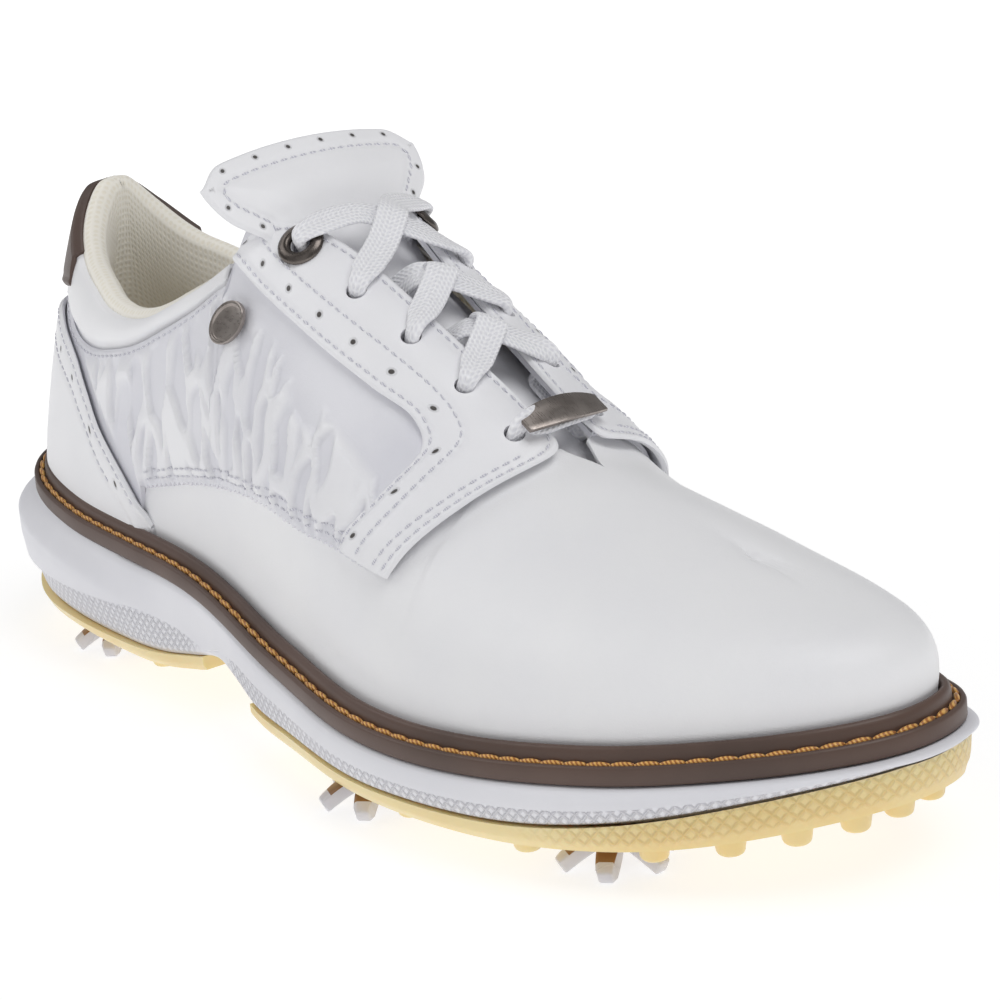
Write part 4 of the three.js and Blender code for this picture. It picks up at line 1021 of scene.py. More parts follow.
def makeQuarter(name, inner, node):
    def lowRise(angle):
        wing = seamRise("wing", angle)
        return np.where(fromHeel(angle) < 60, layers["hidden"],
                        layers["hidden"] + (wing - layers["hidden"]) * smooth(fromHeel(angle), 60, 61.5))

    def highRise(angle):
        return np.where(fromHeel(angle) < 77, seamRise("collarSeam", angle) - 0.004,
                        seamRise("facingTop", angle) - 0.02)

    low = mirrorEdge(overAngles(quarter["start"], quarter["end"], lowRise), inner)
    high = mirrorEdge(overAngles(quarter["start"], quarter["end"], highRise), inner)
    bare, normal, a, t = sheetPoints(low, high, quarter["columns"], quarter["rows"], 0,
                                     lambda w: w ** 1.15)
    run, up, down = measured(bare)
    d = fromHeel(a)
    inside = splineAt(seams["facingInside"], np.linspace(0, 0.72, 60))
    facingEdge = np.interp(d, inside[:, 0], inside[:, 1], left=2, right=0.6)
    scale = 68.0  # millimetres for a whole rise, near enough for margins
    margin = np.minimum.reduce([
        (t - seamRise("counter", a)) * scale, (seamRise("collarSeam", a) - t) * scale,
        (facingEdge - t) * scale, up + (d < 62) * 40, (103.5 - d) * 2.2 + np.maximum((t - 0.3) * 20, 0)])
    field = smooth(margin, 0.5, 4.0)
    x, z = (a * 2.0 if not inner else (360 - a) * 2.0), t * scale
    relief = np.array([[veinHeight(x[i, j], z[i, j], 2.0 + inner) if field[i, j] > 0.01 else 0.0
                        for j in range(a.shape[1])] for i in range(a.shape[0])])
    lift = relief * field * quarter["reliefHeight"]
    lift -= seamDip(up, (2.4, 4.6), 0.12) * (d > 62) * (d < 104)
    points = bare + normal * (lift - rolled(down, 0.5) * (d < 77))[..., None]
    sewn = points
    # pinked teeth along the wing seam
    tooth = np.abs((run[0] / quarter["tooth"]) % 1 - 0.5) * 2 * quarter["toothDepth"]
    edge = (d[0] > 61.5) * (d[0] < 106)
    pull = (1 - smooth(up, 0, 3.5)) * (tooth * edge)[None, :]
    upward = unit(points[1:] - points[:-1])
    points = points + np.concatenate([upward, upward[-1:]]) * pull[..., None]
    piece = gridPiece(name, points, np.stack([run, up], -1), flip=turnedIn(points, normal), mask=relief * field)
    thicken(piece, 1.2, 0.0)
    share = lambda angle: (angle - quarter["start"]) / (quarter["end"] - quarter["start"])
    for distance in (2.6, 4.6):
        sewAlong(sewn, normal, distance, part=(share(63), share(104)))
    sewAlong(sewn, normal, 1.8, fromTop=True, part=(share(16), share(76)))
    settle(piece)
    cutWith(piece, holeTool(seams["eyelets"], 2.3, inner=inner))
    piece.data.shade_smooth()
    piece.data.set_sharp_from_angle(angle=math.radians(60))
    return finishPiece(piece, quarterLeather, replaces=[node])


# Facings: the lace bands and their legs, punched along a pair of seams
facing = {"columns": 300, "rows": 70, "thickness": 1.3, "lift": -2.2}


def makeFacing(name, inner, node):
    low = mirrorEdge(lambda v: splineAt(seams["facingInside"], v), inner)
    high = mirrorEdge(lambda v: splineAt(seams["facingOutside"], v), inner)
    v = np.linspace(0, 1, facing["columns"] + 1)

    def depth(a, t, run, up, down):
        leg = smooth(v, 0.56, 0.72)[None, :]
        sink = 1.5 * leg * (1 - smooth(up, 0, 5.0))
        foot = 0.9 * smooth(v, 0.93, 1.0)[None, :]
        return (facing["lift"] + sink + foot + rolled(up, 0.7) + rolled(down, 0.8)
                + seamDip(up, (2.2, 9.0)) + seamDip(down, (2.4,)))

    points, normal, a, t = sheetPoints(low, high, facing["columns"], facing["rows"], depth)
    run, up, down = measured(points)
    piece = gridPiece(name, points, np.stack([run, up], -1), flip=turnedIn(points, normal))
    thicken(piece, facing["thickness"], 0.25)
    settle(piece)
    cutWith(piece, holeTool(seams["eyelets"], 2.3, inner=inner))
    piece.data.shade_smooth()
    piece.data.set_sharp_from_angle(angle=math.radians(60))
    sewAlong(points, normal, 2.2, part=(0.0, 0.985))
    sewAlong(points, normal, 9.0, part=(0.03, 0.985))
    sewAlong(points, normal, 2.4, fromTop=True, part=(0.06, 0.99))
    sewAlong(points, normal, 5.2, fromTop=True, part=(0.74, 0.99))
    return finishPiece(piece, facingLeather, replaces=[node])


# Heel: overlay, pull tab and padded collar
heel = {"overlayReach": 63.0, "tabReach": 38.0, "collarReach": 76.5, "tabLow": 0.43}


def makeHeelOverlay():
    reach = heel["overlayReach"]
    low = overAngles(-reach, reach, lambda a: -0.012)
    high = overAngles(-reach, reach, lambda a: seamRise("counter", a))

    def depth(a, t, run, up, down):
        return (-2.0 + rolled(down, 0.8) + seamDip(down, (2.2, 8.4))
                + 1.2 * (1 - smooth(fromHeel(a), reach - 0.3, reach - 2.5)))

    points, normal, a, t = sheetPoints(low, high, 360, 60, depth)
    run, up, down = measured(points)
    piece = gridPiece("heelOverlay", points, np.stack([run, down], -1), flip=turnedIn(points, normal))
    thicken(piece, 1.1, 0.25)
    sewAlong(points, normal, 2.2, fromTop=True, part=(0.02, 0.98))
    sewAlong(points, normal, 8.4, fromTop=True, part=(0.06, 0.94))
    return finishPiece(piece, counterLeather, replaces=["heel_overlay"])


def makeHeelTab():
    reach = heel["tabReach"]
    low = overAngles(-reach, reach, lambda a: heel["tabLow"])
    high = overAngles(-reach, reach, lambda a: seamRise("topline", a) + 0.002)

    def depth(a, t, run, up, down):
        return -2.2 + rolled(up, 0.8) + 2.4 * (1 - smooth(down, 0, 2.6)) ** 2 + seamDip(up, (2.2,), 0.15)

    points, normal, a, t = sheetPoints(low, high, 120, 40, depth)
    run, up, down = measured(points)
    piece = gridPiece("heelTab", points, np.stack([run, up], -1), flip=turnedIn(points, normal))
    thicken(piece, 1.2, 0.3)
    return finishPiece(piece, brownLeather, replaces=["heel_tab"])


def ringSheet(name, reach, columns, section, material, replaced):
    # a band round the heel; section(angle) gives rows of (rise, depth)
    angle = np.linspace(-reach, reach, columns + 1)
    rows = section(angle)
    points = np.array([onLast(angle, rise, depth) for rise, depth in rows])
    normal = np.array([lastNormal(angle, rise) for rise, _ in rows])
    run, up, _ = measured(points)
    piece = gridPiece(name, points, np.stack([run, up], -1), flip=turnedIn(points, normal))
    return finishPiece(piece, material, replaces=replaced), points, normal


def makeCollar():
    # the outer skin comes up from under the quarter, swells over the foam and rolls in at the top edge
    def skin(angle):
        low, top = seamRise("collarSeam", angle), seamRise("topline", angle)
        rows = [(low - 0.035, 1.3 + 0 * angle), (low - 0.018, 1.25 + 0 * angle)]
        for w in np.linspace(0, 1, 26):
            puff = 1.5 * math.sin(math.pi * min(w * 1.02, 1)) ** 0.6 * (1 - smooth(fromHeel(angle), 66, 76))
            roll = 1.7 * float(smooth(w, 0.86, 1)) ** 1.5
            rows.append((low + (top - low) * w, 1.0 * (1 - float(smooth(w, 0, 0.2))) - puff + roll))
        return rows

    piece, points, normal = ringSheet("collarSkin", heel["collarReach"], 320, skin, whiteLeather,
                                      ["collar"])
    thicken(piece, 0.9, 0.0)

    # the padded roll inside: over the top edge and down to the lining
    def pad(angle):
        low, top = np.minimum(seamRise("collarSeam", angle), 0.34) - 0.12, seamRise("topline", angle)
        fade = 1 - smooth(fromHeel(angle), 68, 76)
        rows = []
        for k in np.linspace(0, 1, 40):
            if k < 0.35:
                turn = k / 0.35 * math.pi
                rise = top - 0.008 + 0.02 * math.sin(turn)
                depth = 3.6 - 2.3 * math.cos(turn) * (0.6 + 0.4 * fade)
            else:
                w = (k - 0.35) / 0.65
                rise = top - 0.008 + (low - top + 0.008) * w
                depth = 3.6 + 2.3 * (0.6 + 0.4 * fade) + 2.6 * fade * np.sin(math.pi * min(w * 1.25, 1)) ** 0.8
                depth = depth + (6.1 - depth) * smooth(w, 0.75, 1)
            rows.append((rise, depth))
        return rows

    piece, points, normal = ringSheet("collarPad", heel["collarReach"], 320, pad, collarKnit,
                                      ["collar_foam"])
    thicken(piece, 0.8, 0.0)


def liningDepth(angle):
    near = 1 - smooth(fromHeel(angle), 68, 88)
    toe = smooth(fromHeel(angle), 122, 136)
    return layers["lining"] + near * 4.0 + toe * 2.3


def makeLining():
    knots = [(77, 0.56), (80, 0.66), (112, 0.66), (115, 0.8), (118, 1)]

    def top(angle):
        d = fromHeel(angle)
        return np.where(d < 77, np.minimum(seamRise("topline", angle) - 0.02, 0.6), np.clip(curveAt(knots, d), 0, 1))

    low = overAngles(0, 360, lambda a: -0.02)
    high = overAngles(0, 360, top)
    points, normal, a, t = sheetPoints(low, high, 360, 50, lambda a, t, run, up, down: liningDepth(a) + 0.05)
    piece = gridPiece("liningMesh", points, flip=turnedIn(points, normal), weld=0.0001)
    thicken(piece, 0.8, 0.0)
    return finishPiece(piece, liningKnit, replaces=["lining"])


def makeFootbed():
    inset = last["feather"] + 1.4 + 1.5 + 3.2 + 1.0 + 3 * 0.8 + 1
    top = lambda x, rim: weltBottom(x) + 8.8 - 0.8 * (1 - rim)
    bottom = lambda x, rim: weltBottom(x) + 5.0
    shares = [1.0, 0.985, 0.95, 0.85, 0.7, 0.5, 0.3, 0]
    points = np.concatenate([soleRows([0, 0.5, 1.0], inset, 0, bottom, top), soleRows([1.0], inset, 0.6, bottom, top),
                             soleRows(shares, inset, 1, bottom, top)])
    flat = np.stack([points[..., 0], points[..., 1]], -1)
    piece = gridPiece("footbed", points, flat)
    return finishPiece(piece, footbedKnit, replaces=["sockliner"])


makeVamp()
makeQuarter("quarterOuter", False, "quarter_lateral")
makeQuarter("quarterInner", True, "quarter_medial")
makeFacing("facingOuter", False, "facing_lateral")
makeFacing("facingInner", True, "facing_medial")
makeHeelOverlay()
makeHeelTab()
makeCollar()
makeLining()
makeFootbed()
print("upper made")


# ---- tongue ----

tongue = {
    "depth": 6.0, "side": 0.6, "fold": 84.0, "front": 116.0, "rise": 58.0, "length": 27.5, "thickness": 2.6,
    "widths": [(-0.6, 22), (0, 19), (0.15, 22), (0.35, 27), (0.6, 29.5), (0.88, 29.8), (1, 29)],
    "drop": 0.0055, "columns": 120, "rows": 140,
}


def tonguePlace(along, across):
    # along runs from the throat (0) over the fold (1) to the top (2); across from -1 outer to 1 inner
    angle = tongue["front"] + (tongue["fold"] - tongue["front"]) * np.minimum(along, 1.25)
    rise = 1 - (1 - tongue["side"]) * np.abs(across)
    side = np.where(across < 0, angle, 360 - angle)
    lower = onLast(side, rise, tongue["depth"])
    fold = onLast(tongue["fold"], 1.0, tongue["depth"])
    up = math.radians(tongue["rise"])
    run = (along - 1) * tongue["length"]
    # the flap curls back a little towards its top edge
    curl = 0.006 * np.maximum(run, 0) ** 2
    wide = curveAt(tongue["widths"], along - 1) * across
    dip = tongue["drop"] * wide * wide
    x = fold[0] - math.cos(up) * run - math.sin(up) * dip * 0.6 - curl * 0.6
    z = fold[2] + math.sin(up) * run - math.cos(up) * dip - curl * 0.8
    upper = np.stack([x, fold[1] + wide + 0 * x, z], -1)
    share = smooth(along, 0.82, 1.16)[..., None]
    return lower * (1 - share) + upper * share


def makeTongue():
    along = np.linspace(0, 2, tongue["columns"] + 1)[None, :]
    side = np.linspace(-1, 1, tongue["rows"] + 1)[:, None]
    # round the two top corners
    top = 2 - 0.09 * np.abs(side) ** 2.2 - 0.16 * smooth(np.abs(side), 0.72, 1) ** 1.6
    reach = along / 2 * top
    points = tonguePlace(reach, np.broadcast_to(side, reach.shape))
    du = np.gradient(points, axis=1)
    dw = np.gradient(points, axis=0)
    normal = unit(np.cross(dw, du))
    if normal[tongue["rows"] // 2, 10] @ np.array([0, 0, 1.0]) < 0:
        normal = -normal
    fromSide = np.minimum(*(measured(points)[1:]))
    fromTop = np.cumsum(np.linalg.norm(np.diff(points[:, ::-1], axis=1), axis=-1), 1)
    fromTop = np.concatenate([np.zeros((len(points), 1)), fromTop], 1)[:, ::-1]
    edge = np.minimum(fromSide, fromTop)
    fill = 0.9 * smooth(edge, 5.5, 13) - rolled(edge, 0.9) - 0.3 * np.exp(-((edge - 5.4) / 0.9) ** 2)
    points = points + normal * fill[..., None]
    across = np.cumsum(np.linalg.norm(np.diff(points, axis=0, prepend=points[:1]), axis=-1), 0)
    onward = np.cumsum(np.linalg.norm(np.diff(points, axis=1, prepend=points[:, :1]), axis=-1), 1)
    flat = np.stack([np.where(fromSide < fromTop, onward, across), edge], -1)
    piece = gridPiece("tonguePad", points, flat, flip=turnedIn(points, normal))
    thicken(piece, tongue["thickness"], 0.5)
    settle(piece)
    piece.data.shade_smooth()
    finishPiece(piece, tongueLeather, body=None, replaces=["tongue_lower", "tongue_top"])
    fold = onLast(tongue["fold"], 1.0, tongue["depth"])
    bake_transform(piece)
    # the seam that holds the foam, sewn round the flap
    rim, facing = [], []
    inset = 5.4
    for i in range(2, tongue["rows"] - 1):
        row, n = points[i], normal[i]
        if fromSide[i, 100] < inset:
            continue
        j = int(np.argmin(np.abs(fromTop[i] - inset)))
        rim.append(row[j])
        facing.append(n[j])
    low, high = [], []
    for j in range(int(tongue["columns"] * 0.56), int(tongue["columns"] * 0.99)):
        if fromTop[tongue["rows"] // 2, j] < inset * 1.35:
            break
        i = int(np.argmin(np.abs(np.cumsum(np.linalg.norm(np.diff(points[:, j], axis=0), axis=-1)) - inset)))
        low.append((points[i, j], normal[i, j]))
        high.append((points[-1 - i, j], normal[-1 - i, j]))
    line = [p for p, _ in low] + rim[2:-2] + [p for p, _ in reversed(high)]
    sides = [n for _, n in low] + facing[2:-2] + [n for _, n in reversed(high)]
    return np.array(line) + np.array(sides) * 0.05, np.array(sides)


tongueSeam = makeTongue()


def makeKeeper():
    # a strip of leather across the tongue that the lace passes under
    columns, rows = 30, 60
    v = np.linspace(0, 1, columns + 1)[None, :]
    w = np.linspace(-1, 1, rows + 1)[:, None]
    angle = 92.0 + 5.2 * v + 0 * w
    side = np.where(w < 0, angle, 360 - angle)
    rise = 1 - 0.105 * np.abs(w) + 0 * v
    lift = 1.6 + 0.9 * (1 - w * w) - 0.7 * (np.abs(2 * v - 1) > 0.97)
    points = onLast(side, rise, tongue["depth"] - lift - 0.9)
    normal = lastNormal(side, rise)
    run, up, _ = measured(points)
    piece = gridPiece("laceKeeper", points, np.stack([run, up], -1), flip=turnedIn(points, normal))
    thicken(piece, 1.1, 0.25)
    return finishPiece(piece, tongueLeather, replaces=["tongue_keeper"])


makeKeeper()
print("tongue made")


# ---- lace and metal ----

lace = {"wide": 7.0, "thick": 1.35, "cord": 1.5, "under": 3.4, "over": -4.2, "steps": 900, "around": 20,
        "drop": 0.75}


def lacePoint(angle, rise, depth):
    return onLast(angle, rise, depth), lastNormal(angle, rise)


def crossing(k, outer, raised, toTop):
    # from the eyelet k to the next one towards the ankle on the other side
    (a, t), (nextA, nextT) = seams["eyelets"][k], seams["eyelets"][k - 1]
    here = (lambda x: x) if outer else (lambda x: 360 - x)
    there = (lambda x: 360 - x) if outer else (lambda x: x)
    between = lambda share: a + (nextA - a) * share
    over, under, drop = lace["over"], lace["under"], lace["drop"]
    found = [
        lacePoint(here(a), t, under), lacePoint(here(a), t, 0), lacePoint(here(a), t + 0.012, over + drop),
        lacePoint(here(between(0.25)), 0.93, over + drop - 0.6),
        lacePoint(here(between(0.5)), 1, over + drop - (3.0 if raised else 0.2)),
    ]
    if toTop:
        return found + [
            lacePoint(there(between(0.75)), 0.93, over + drop - 0.8),
            lacePoint(there(nextA), nextT + 0.012, over + drop - 0.9), lacePoint(there(nextA), nextT, 0),
            lacePoint(there(nextA), nextT, under)]
    return found + [lacePoint(there(between(0.72)), 0.965, over + 2.4), lacePoint(there(between(0.86)), 0.9, under + 0.6)]


def halfLace(outer):
    here = (lambda x: x) if outer else (lambda x: 360 - x)
    (a5, t5), (a4, t4) = seams["eyelets"][4], seams["eyelets"][3]
    under, over = lace["under"], lace["over"]
    tail = [(83.4, 0.69, under + 2.2), (80, 0.58, under + 5.4), (76, 0.5, under + 6.3), (72, 0.42, under + 6.7)]
    there = (lambda x: 360 - x) if outer else (lambda x: x)
    return [lacePoint(here(a5), t5 + 0.02, over + 0.6), lacePoint(here(a5), t5, 0), lacePoint(here(a5), t5, under),
            lacePoint(here((a5 + a4) / 2), (t4 + t5) / 2, under),
            *crossing(3, outer, outer, False), *crossing(2, not outer, not outer, False),
            *crossing(1, outer, outer, True), *[lacePoint(there(a), t, d) for a, t, d in tail]]


def throughPoints(points, count):
    # a centripetal curve through points, sampled evenly along its length
    points = np.array(points, float)
    first, end = 2 * points[0] - points[1], 2 * points[-1] - points[-2]
    padded = np.concatenate([[first], points, [end]])
    found = []
    for i in range(1, len(padded) - 2):
        p0, p1, p2, p3 = padded[i - 1:i + 3]
        k0, k1, k2 = (max(np.linalg.norm(b - a), 1e-4) ** 0.5 for a, b in ((p0, p1), (p1, p2), (p2, p3)))
        m1 = ((p1 - p0) / k0 - (p2 - p0) / (k0 + k1) + (p2 - p1) / k1) * k1
        m2 = ((p2 - p1) / k1 - (p3 - p1) / (k1 + k2) + (p3 - p2) / k2) * k1
        t = np.linspace(0, 1, 40, endpoint=False)[:, None]
        found.append(p1 + m1 * t + (-3 * p1 + 3 * p2 - 2 * m1 - m2) * t ** 2 + (2 * p1 - 2 * p2 + m1 + m2) * t ** 3)
    line = np.concatenate([*found, padded[-2:-1]])
    run = np.concatenate([[0], np.cumsum(np.linalg.norm(np.diff(line, axis=0), axis=1))])
    at = np.linspace(0, run[-1], count)
    return np.stack([np.interp(at, run, line[:, k]) for k in range(3)], -1), run[-1], at


def makeLace():
    a5 = seams["eyelets"][4][0]
    bar = [lacePoint(a5 + 0.6, 0.93, lace["over"] + 0.3), lacePoint(360 - a5 - 0.6, 0.93, lace["over"] + 0.3)]
    route = [*halfLace(True)[::-1], *bar, *halfLace(False)]
    line, length, at = throughPoints([p for p, _ in route], lace["steps"])
    knots = np.array([p for p, _ in route])
    facing = np.array([n for _, n in route])
    nearest = np.argmin(np.linalg.norm(line[:, None] - knots[None], axis=-1), axis=1)
    spread = np.concatenate([[0], np.cumsum(np.linalg.norm(np.diff(knots, axis=0), axis=1))])
    order = np.interp(at, spread * length / spread[-1], np.arange(len(knots)))
    wanted = unit(np.stack([np.interp(order, np.arange(len(knots)), facing[:, k]) for k in range(3)], -1))
    ahead = unit(np.gradient(line, axis=0))
    # the flat side follows the leather, and turns over smoothly where the lace dives into a hole
    up = np.zeros_like(line)
    up[0] = unit(wanted[0] - ahead[0] * (wanted[0] @ ahead[0]))
    for i in range(1, len(line)):
        carried = unit(up[i - 1] - ahead[i] * (up[i - 1] @ ahead[i]))
        pull = wanted[i] - ahead[i] * (wanted[i] @ ahead[i])
        grip = float(np.linalg.norm(pull)) ** 2
        sign = 1.0 if pull @ carried >= 0 else -1.0
        up[i] = unit(carried + 0.16 * grip * sign * unit(pull))
    for _ in range(6):
        up[1:-1] = unit(up[:-2] + up[1:-1] + up[2:])
    side = unit(np.cross(ahead, up))
    # gathered where it passes through a hole
    gather = np.ones(len(line))
    for angle, rise in seams["eyelets"]:
        for turn in (angle, 360 - angle):
            hole = onLast(turn, rise, -0.8)
            gather = np.minimum(gather, 0.56 + 0.44 * smooth(np.linalg.norm(line - hole, axis=1), 1.5, 7.5))
    ring = np.linspace(0, 2 * math.pi, lace["around"] + 1)
    wide = lace["wide"] / 2 * gather
    thick = lace["thick"] / 2 * (1 + 0.9 * (1 - gather) / 0.44)
    c, s = np.cos(ring), np.sin(ring)
    across = np.sign(c) * np.abs(c) ** 0.75
    over = np.sign(s) * np.abs(s) ** 0.75
    points = (line[None] + side[None] * (wide[None, :] * across[:, None])[..., None]
              + up[None] * (thick[None, :] * over[:, None])[..., None])
    flat = np.stack([np.broadcast_to(at, points.shape[:2]), np.broadcast_to(wide[None, :] * across[:, None],
                                                                           points.shape[:2])], -1)
    piece = gridPiece("laceRibbon", points, flat)
    bm = bmesh.new()
    bm.from_mesh(piece.data)
    bmesh.ops.holes_fill(bm, edges=[e for e in bm.edges if e.is_boundary], sides=0)
    bmesh.ops.recalc_face_normals(bm, faces=bm.faces)
    bm.to_mesh(piece.data)
    bm.free()
    piece.data.shade_smooth()
    finishPiece(piece, lacePolyester, replaces=["lace"])
    middle = len(line) // 2
    return line[middle], ahead[middle], length


jewelPlace, jewelAlong, laceLength = makeLace()
print("lace made, length", round(laceLength), "mm")


def profileRing(name, profile, matrix, steps=48):
    # a turned ring from its closed section of (radius, height)
    bm = bmesh.new()
    verts = [bm.verts.new(Vector((r, 0, z)) / 1000) for r, z in profile]
    edges = [bm.edges.new(pair) for pair in zip(verts, verts[1:] + verts[:1])]
    bmesh.ops.spin(bm, geom=verts + edges, cent=(0, 0, 0), axis=(0, 0, 1), angle=2 * math.pi, steps=steps,
                   use_merge=True)
    bmesh.ops.remove_doubles(bm, verts=bm.verts, dist=1e-6)
    bmesh.ops.recalc_face_normals(bm, faces=bm.faces)
    bmesh.ops.transform(bm, matrix=matrix, verts=bm.verts)
    mesh = bpy.data.meshes.new(name)
    bm.to_mesh(mesh)
    bm.free()
    mesh.shade_smooth()
    return newObject(name, mesh)


# a rolled metal rim: (radius, height over the facing)
eyeletSection = [(2.5, -0.9), (2.45, 0.1), (2.6, 0.75), (3.0, 1.15), (3.6, 1.25), (4.3, 1.05), (4.95, 0.7), (5.35, 0.3),
                 (5.45, 0.0), (5.3, -0.15), (3.2, -0.2), (3.0, -0.9)]


def makeEyelets():
    angle, rise = seams["eyelets"][0]
    for name, turn, node in (("eyeletRingOuter", angle, "eyelet_lateral"), ("eyeletRingInner", 360 - angle, "eyelet_medial")):
        place = toFrame(onLast(turn, rise, facing["lift"] - 0.1))
        ring = profileRing(name, eyeletSection, seatMatrix(place, lastNormal(turn, rise)))
        finishPiece(ring, darkGunmetal, replaces=[node])


badge = {"place": (79.0, 0.45), "long": 6.6, "wide": 4.6, "thick": 1.0}


def makeBadge():
    # a plain oval plate with a raised rim
    angle, rise = badge["place"]
    place = toFrame(onLast(angle, rise, -1.3))
    bm = bmesh.new()
    bmesh.ops.create_circle(bm, cap_ends=True, segments=72, radius=1.0)
    bmesh.ops.scale(bm, verts=bm.verts, vec=(badge["long"] / 1000, badge["wide"] / 1000, 1))
    face = bm.faces[:]
    out = bmesh.ops.extrude_face_region(bm, geom=face)
    top = [g for g in out["geom"] if isinstance(g, bmesh.types.BMFace)]
    bmesh.ops.translate(bm, verts=[g for g in out["geom"] if isinstance(g, bmesh.types.BMVert)],
                        vec=(0, 0, badge["thick"] / 1000))
    bmesh.ops.inset_region(bm, faces=top, thickness=0.0008, depth=0.0)
    bmesh.ops.inset_region(bm, faces=top, thickness=0.0003, depth=-0.0004)
    bmesh.ops.recalc_face_normals(bm, faces=bm.faces)
    sharp = [e for e in bm.edges if len(e.link_faces) == 2 and e.calc_face_angle(0) > 0.7]
    bmesh.ops.bevel(bm, geom=sharp, offset=0.00014, offset_type="OFFSET", segments=2, profile=0.5,
                    affect="EDGES", material=-1)
    bmesh.ops.transform(bm, matrix=seatMatrix(place, lastNormal(angle, rise), spin=0.5), verts=bm.verts)
    mesh = bpy.data.meshes.new("sideBadge")
    bm.to_mesh(mesh)
    bm.free()
    mesh.shade_smooth()
    mesh.set_sharp_from_angle(angle=math.radians(40))
    finishPiece(newObject("sideBadge", mesh), gunmetal, replaces=["badge"])


jewel = {"long": 21.0, "wide": 7.6, "thick": 0.9, "bow": 1.6, "slot": (2.4, 5.2), "lift": 1.55}


def makeJewel():
    # a bowed bar over the middle of the lace, narrowing towards each end
    bm = bmesh.new()
    bmesh.ops.create_cube(bm, size=1.0)
    long = [e for e in bm.edges if abs(e.verts[0].co.y - e.verts[1].co.y) > 0.5]
    bmesh.ops.subdivide_edges(bm, edges=long, cuts=29, use_grid_fill=True)
    wide = [e for e in bm.edges if abs(e.verts[0].co.x - e.verts[1].co.x) > 0.5]
    bmesh.ops.subdivide_edges(bm, edges=wide, cuts=3, use_grid_fill=True)
    for vert in bm.verts:
        y = vert.co.y * 2
        narrow = 1 - 0.34 * abs(y) ** 2.4
        vert.co = Vector((vert.co.x * jewel["wide"] * narrow, vert.co.y * jewel["long"],
                          vert.co.z * jewel["thick"] - jewel["bow"] * y * y)) / 1000
    corners = [e for e in bm.edges if len(e.link_faces) == 2 and e.calc_face_angle(0) > 1.0]
    bmesh.ops.bevel(bm, geom=corners, offset=0.00025, offset_type="OFFSET", segments=2, profile=0.5,
                    affect="EDGES", material=-1)
    forward = Vector(jewelAlong)
    up = Vector(lastNormal(111.0, 1.0))
    forward = (forward - up * forward.dot(up)).normalized()
    side = forward.cross(up)
    place = Vector(toFrame(jewelPlace)) + up * jewel["lift"] / 1000
    turn = Matrix(((side.x, forward.x, up.x, place.x), (side.y, forward.y, up.y, place.y),
                   (side.z, forward.z, up.z, place.z), (0, 0, 0, 1)))
    bmesh.ops.transform(bm, matrix=turn, verts=bm.verts)
    bmesh.ops.recalc_face_normals(bm, faces=bm.faces)
    mesh = bpy.data.meshes.new("laceJewel")
    bm.to_mesh(mesh)
    bm.free()
    mesh.shade_smooth()
    mesh.set_sharp_from_angle(angle=math.radians(40))
    finishPiece(newObject("laceJewel", mesh), gunmetal, replaces=["lace_jewel"])


makeEyelets()
makeBadge()
makeJewel()

seamThread = stitchMesh("seamThread", stitchRows, thread["size"])
finishPiece(seamThread, whiteThread)
flapThread = stitchMesh("flapThread", [(tongueSeam[0], tongueSeam[1], thread["pitch"])], thread["size"])
finishPiece(flapThread, whiteThread, body="tongue_flap")
print("stitches:", sum(int(len(row[0])) for row in stitchRows), "points sewn")

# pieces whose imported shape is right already
for node, material in {
    "shank": springSteel, "insole_board": fibreboard, "heel_counter": fibreboard, "toe_puff": fibreboard,
    "lace_tip_medial": cleatClear, "lace_tip_lateral": cleatClear,
    **{"receptacle_" + place: nylon for place in cleatShare},
}.items():
    for slot in nodes[node].material_slots:
        slot.material = material


# ---- stage, lights and camera ----

camera = {"azimuth": 54.1, "elevation": 16.5, "roll": -5.45, "distance": 708.0, "focal": 3145.0,
          "target": (0.0, 0.0, 55.0), "aimOffset": (66.0, -14.0)}


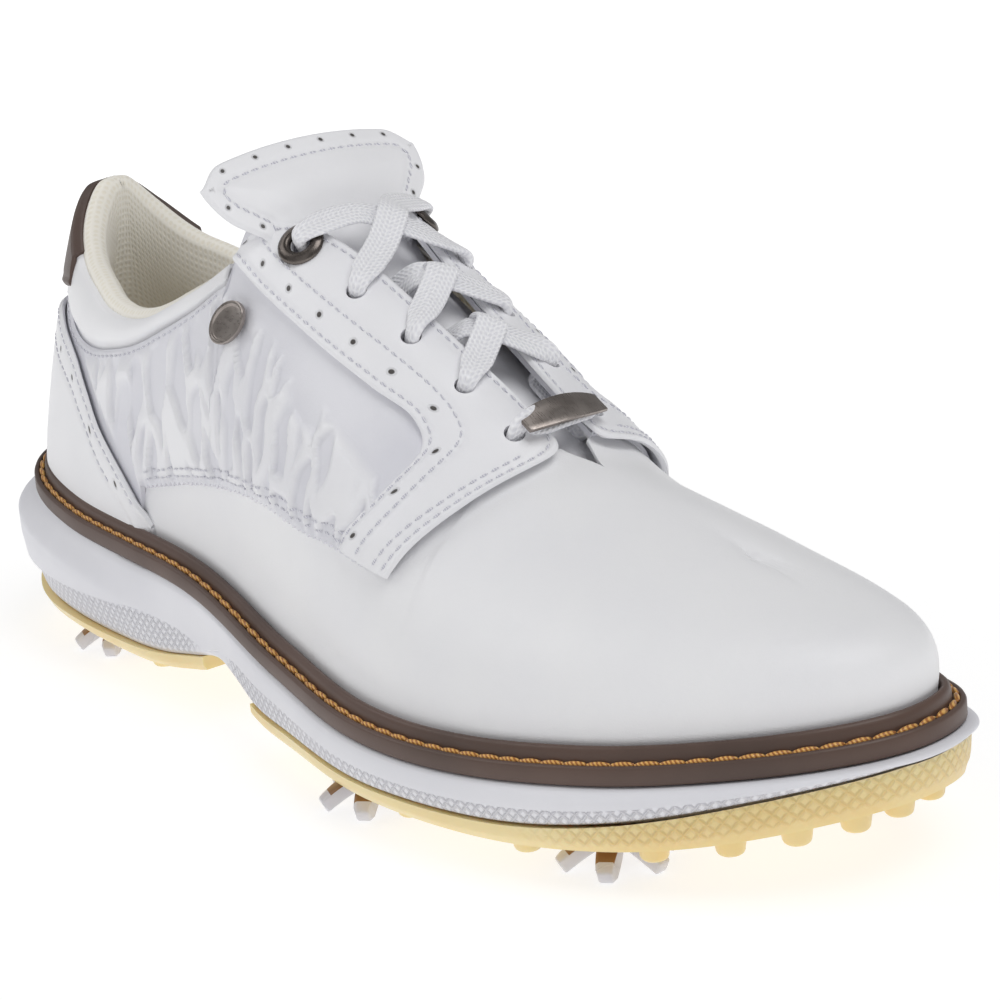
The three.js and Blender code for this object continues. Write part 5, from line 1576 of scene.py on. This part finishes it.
def makeCamera():
    # stands where the target keeps its place in the picture, aimed so that no lens shift is needed
    az, el, roll = (math.radians(camera[k]) for k in ("azimuth", "elevation", "roll"))
    target = Vector(toFrame(camera["target"]))
    back = Vector((math.sin(az) * math.cos(el), -math.cos(az) * math.cos(el), math.sin(el)))
    right = Vector((math.cos(az), math.sin(az), 0))
    up = back.cross(right)
    right, up = (right * math.cos(roll) + up * math.sin(roll), up * math.cos(roll) - right * math.sin(roll))
    aim = -back * camera["focal"] + right * camera["aimOffset"][0] + up * camera["aimOffset"][1]
    forward = aim.normalized()
    side = (right - forward * right.dot(forward)).normalized()
    over = side.cross(forward)
    data = bpy.data.cameras.new("camera")
    data.sensor_width = 36.0
    data.lens = camera["focal"] / 1000 * 36 * math.cos(math.atan2(math.hypot(*camera["aimOffset"]), camera["focal"]))
    data.clip_start, data.clip_end = 0.01, 20.0
    body = bpy.data.objects.new("camera", data)
    scene.collection.objects.link(body)
    body.matrix_world = Matrix((
        (side.x, over.x, -forward.x, 0), (side.y, over.y, -forward.y, 0), (side.z, over.z, -forward.z, 0),
        (0, 0, 0, 1)))
    body.location = target + back * camera["distance"] / 1000
    scene.camera = body


lights = {  # azimuth, elevation, distance in metres, size, power in watts
    "overheadSoftbox": (100, 62, 1.5, 1.1, 9.0),
    "frontFill": (20, 25, 1.6, 1.4, 1.6),
    "heelRim": (-50, 40, 1.5, 0.9, 4.0),
}


def makeStage():
    bm = bmesh.new()
    bmesh.ops.create_grid(bm, x_segments=1, y_segments=1, size=6.0)
    mesh = bpy.data.meshes.new("floor")
    bm.to_mesh(mesh)
    bm.free()
    floor = newObject("floor", mesh)
    # lit paper: it glows more the further it runs behind the shoe, as a backdrop with its own lamps does
    paper, tree, shader = newMaterial("whitePaper", {"Base Color": linear("#a4a4a4"), "Roughness": 0.9,
                                                     "Specular IOR Level": 0.1, "Emission Color": (1, 1, 1, 1)})
    away = addNode(tree, "VectorMath", {0: objectPlace(tree)}, operation="LENGTH").outputs["Value"]
    tree.links.new(valueBetween(tree, away, 0.74, 1.0, 0.15, 0.7), shader.inputs["Emission Strength"])
    mesh.materials.append(paper)
    for name, (azimuth, elevation, distance, size, power) in lights.items():
        data = bpy.data.lights.new(name, "AREA")
        data.shape, data.size, data.energy = "DISK", size, power
        az, el = math.radians(azimuth), math.radians(elevation)
        back = Vector((math.sin(az) * math.cos(el), -math.cos(az) * math.cos(el), math.sin(el)))
        lamp = bpy.data.objects.new(name, data)
        scene.collection.objects.link(lamp)
        lamp.location = back * distance + Vector((0, 0, 0.05))
        lamp.rotation_euler = back.to_track_quat("Z", "Y").to_euler()
    world = bpy.data.worlds.new("studio")
    world.use_nodes = True
    world.node_tree.nodes["Background"].inputs["Color"].default_value = (1, 1, 1, 1)
    world.node_tree.nodes["Background"].inputs["Strength"].default_value = 0.3
    scene.world = world
    scene.view_settings.view_transform = "Standard"


makeCamera()
makeStage()
print("stage made")
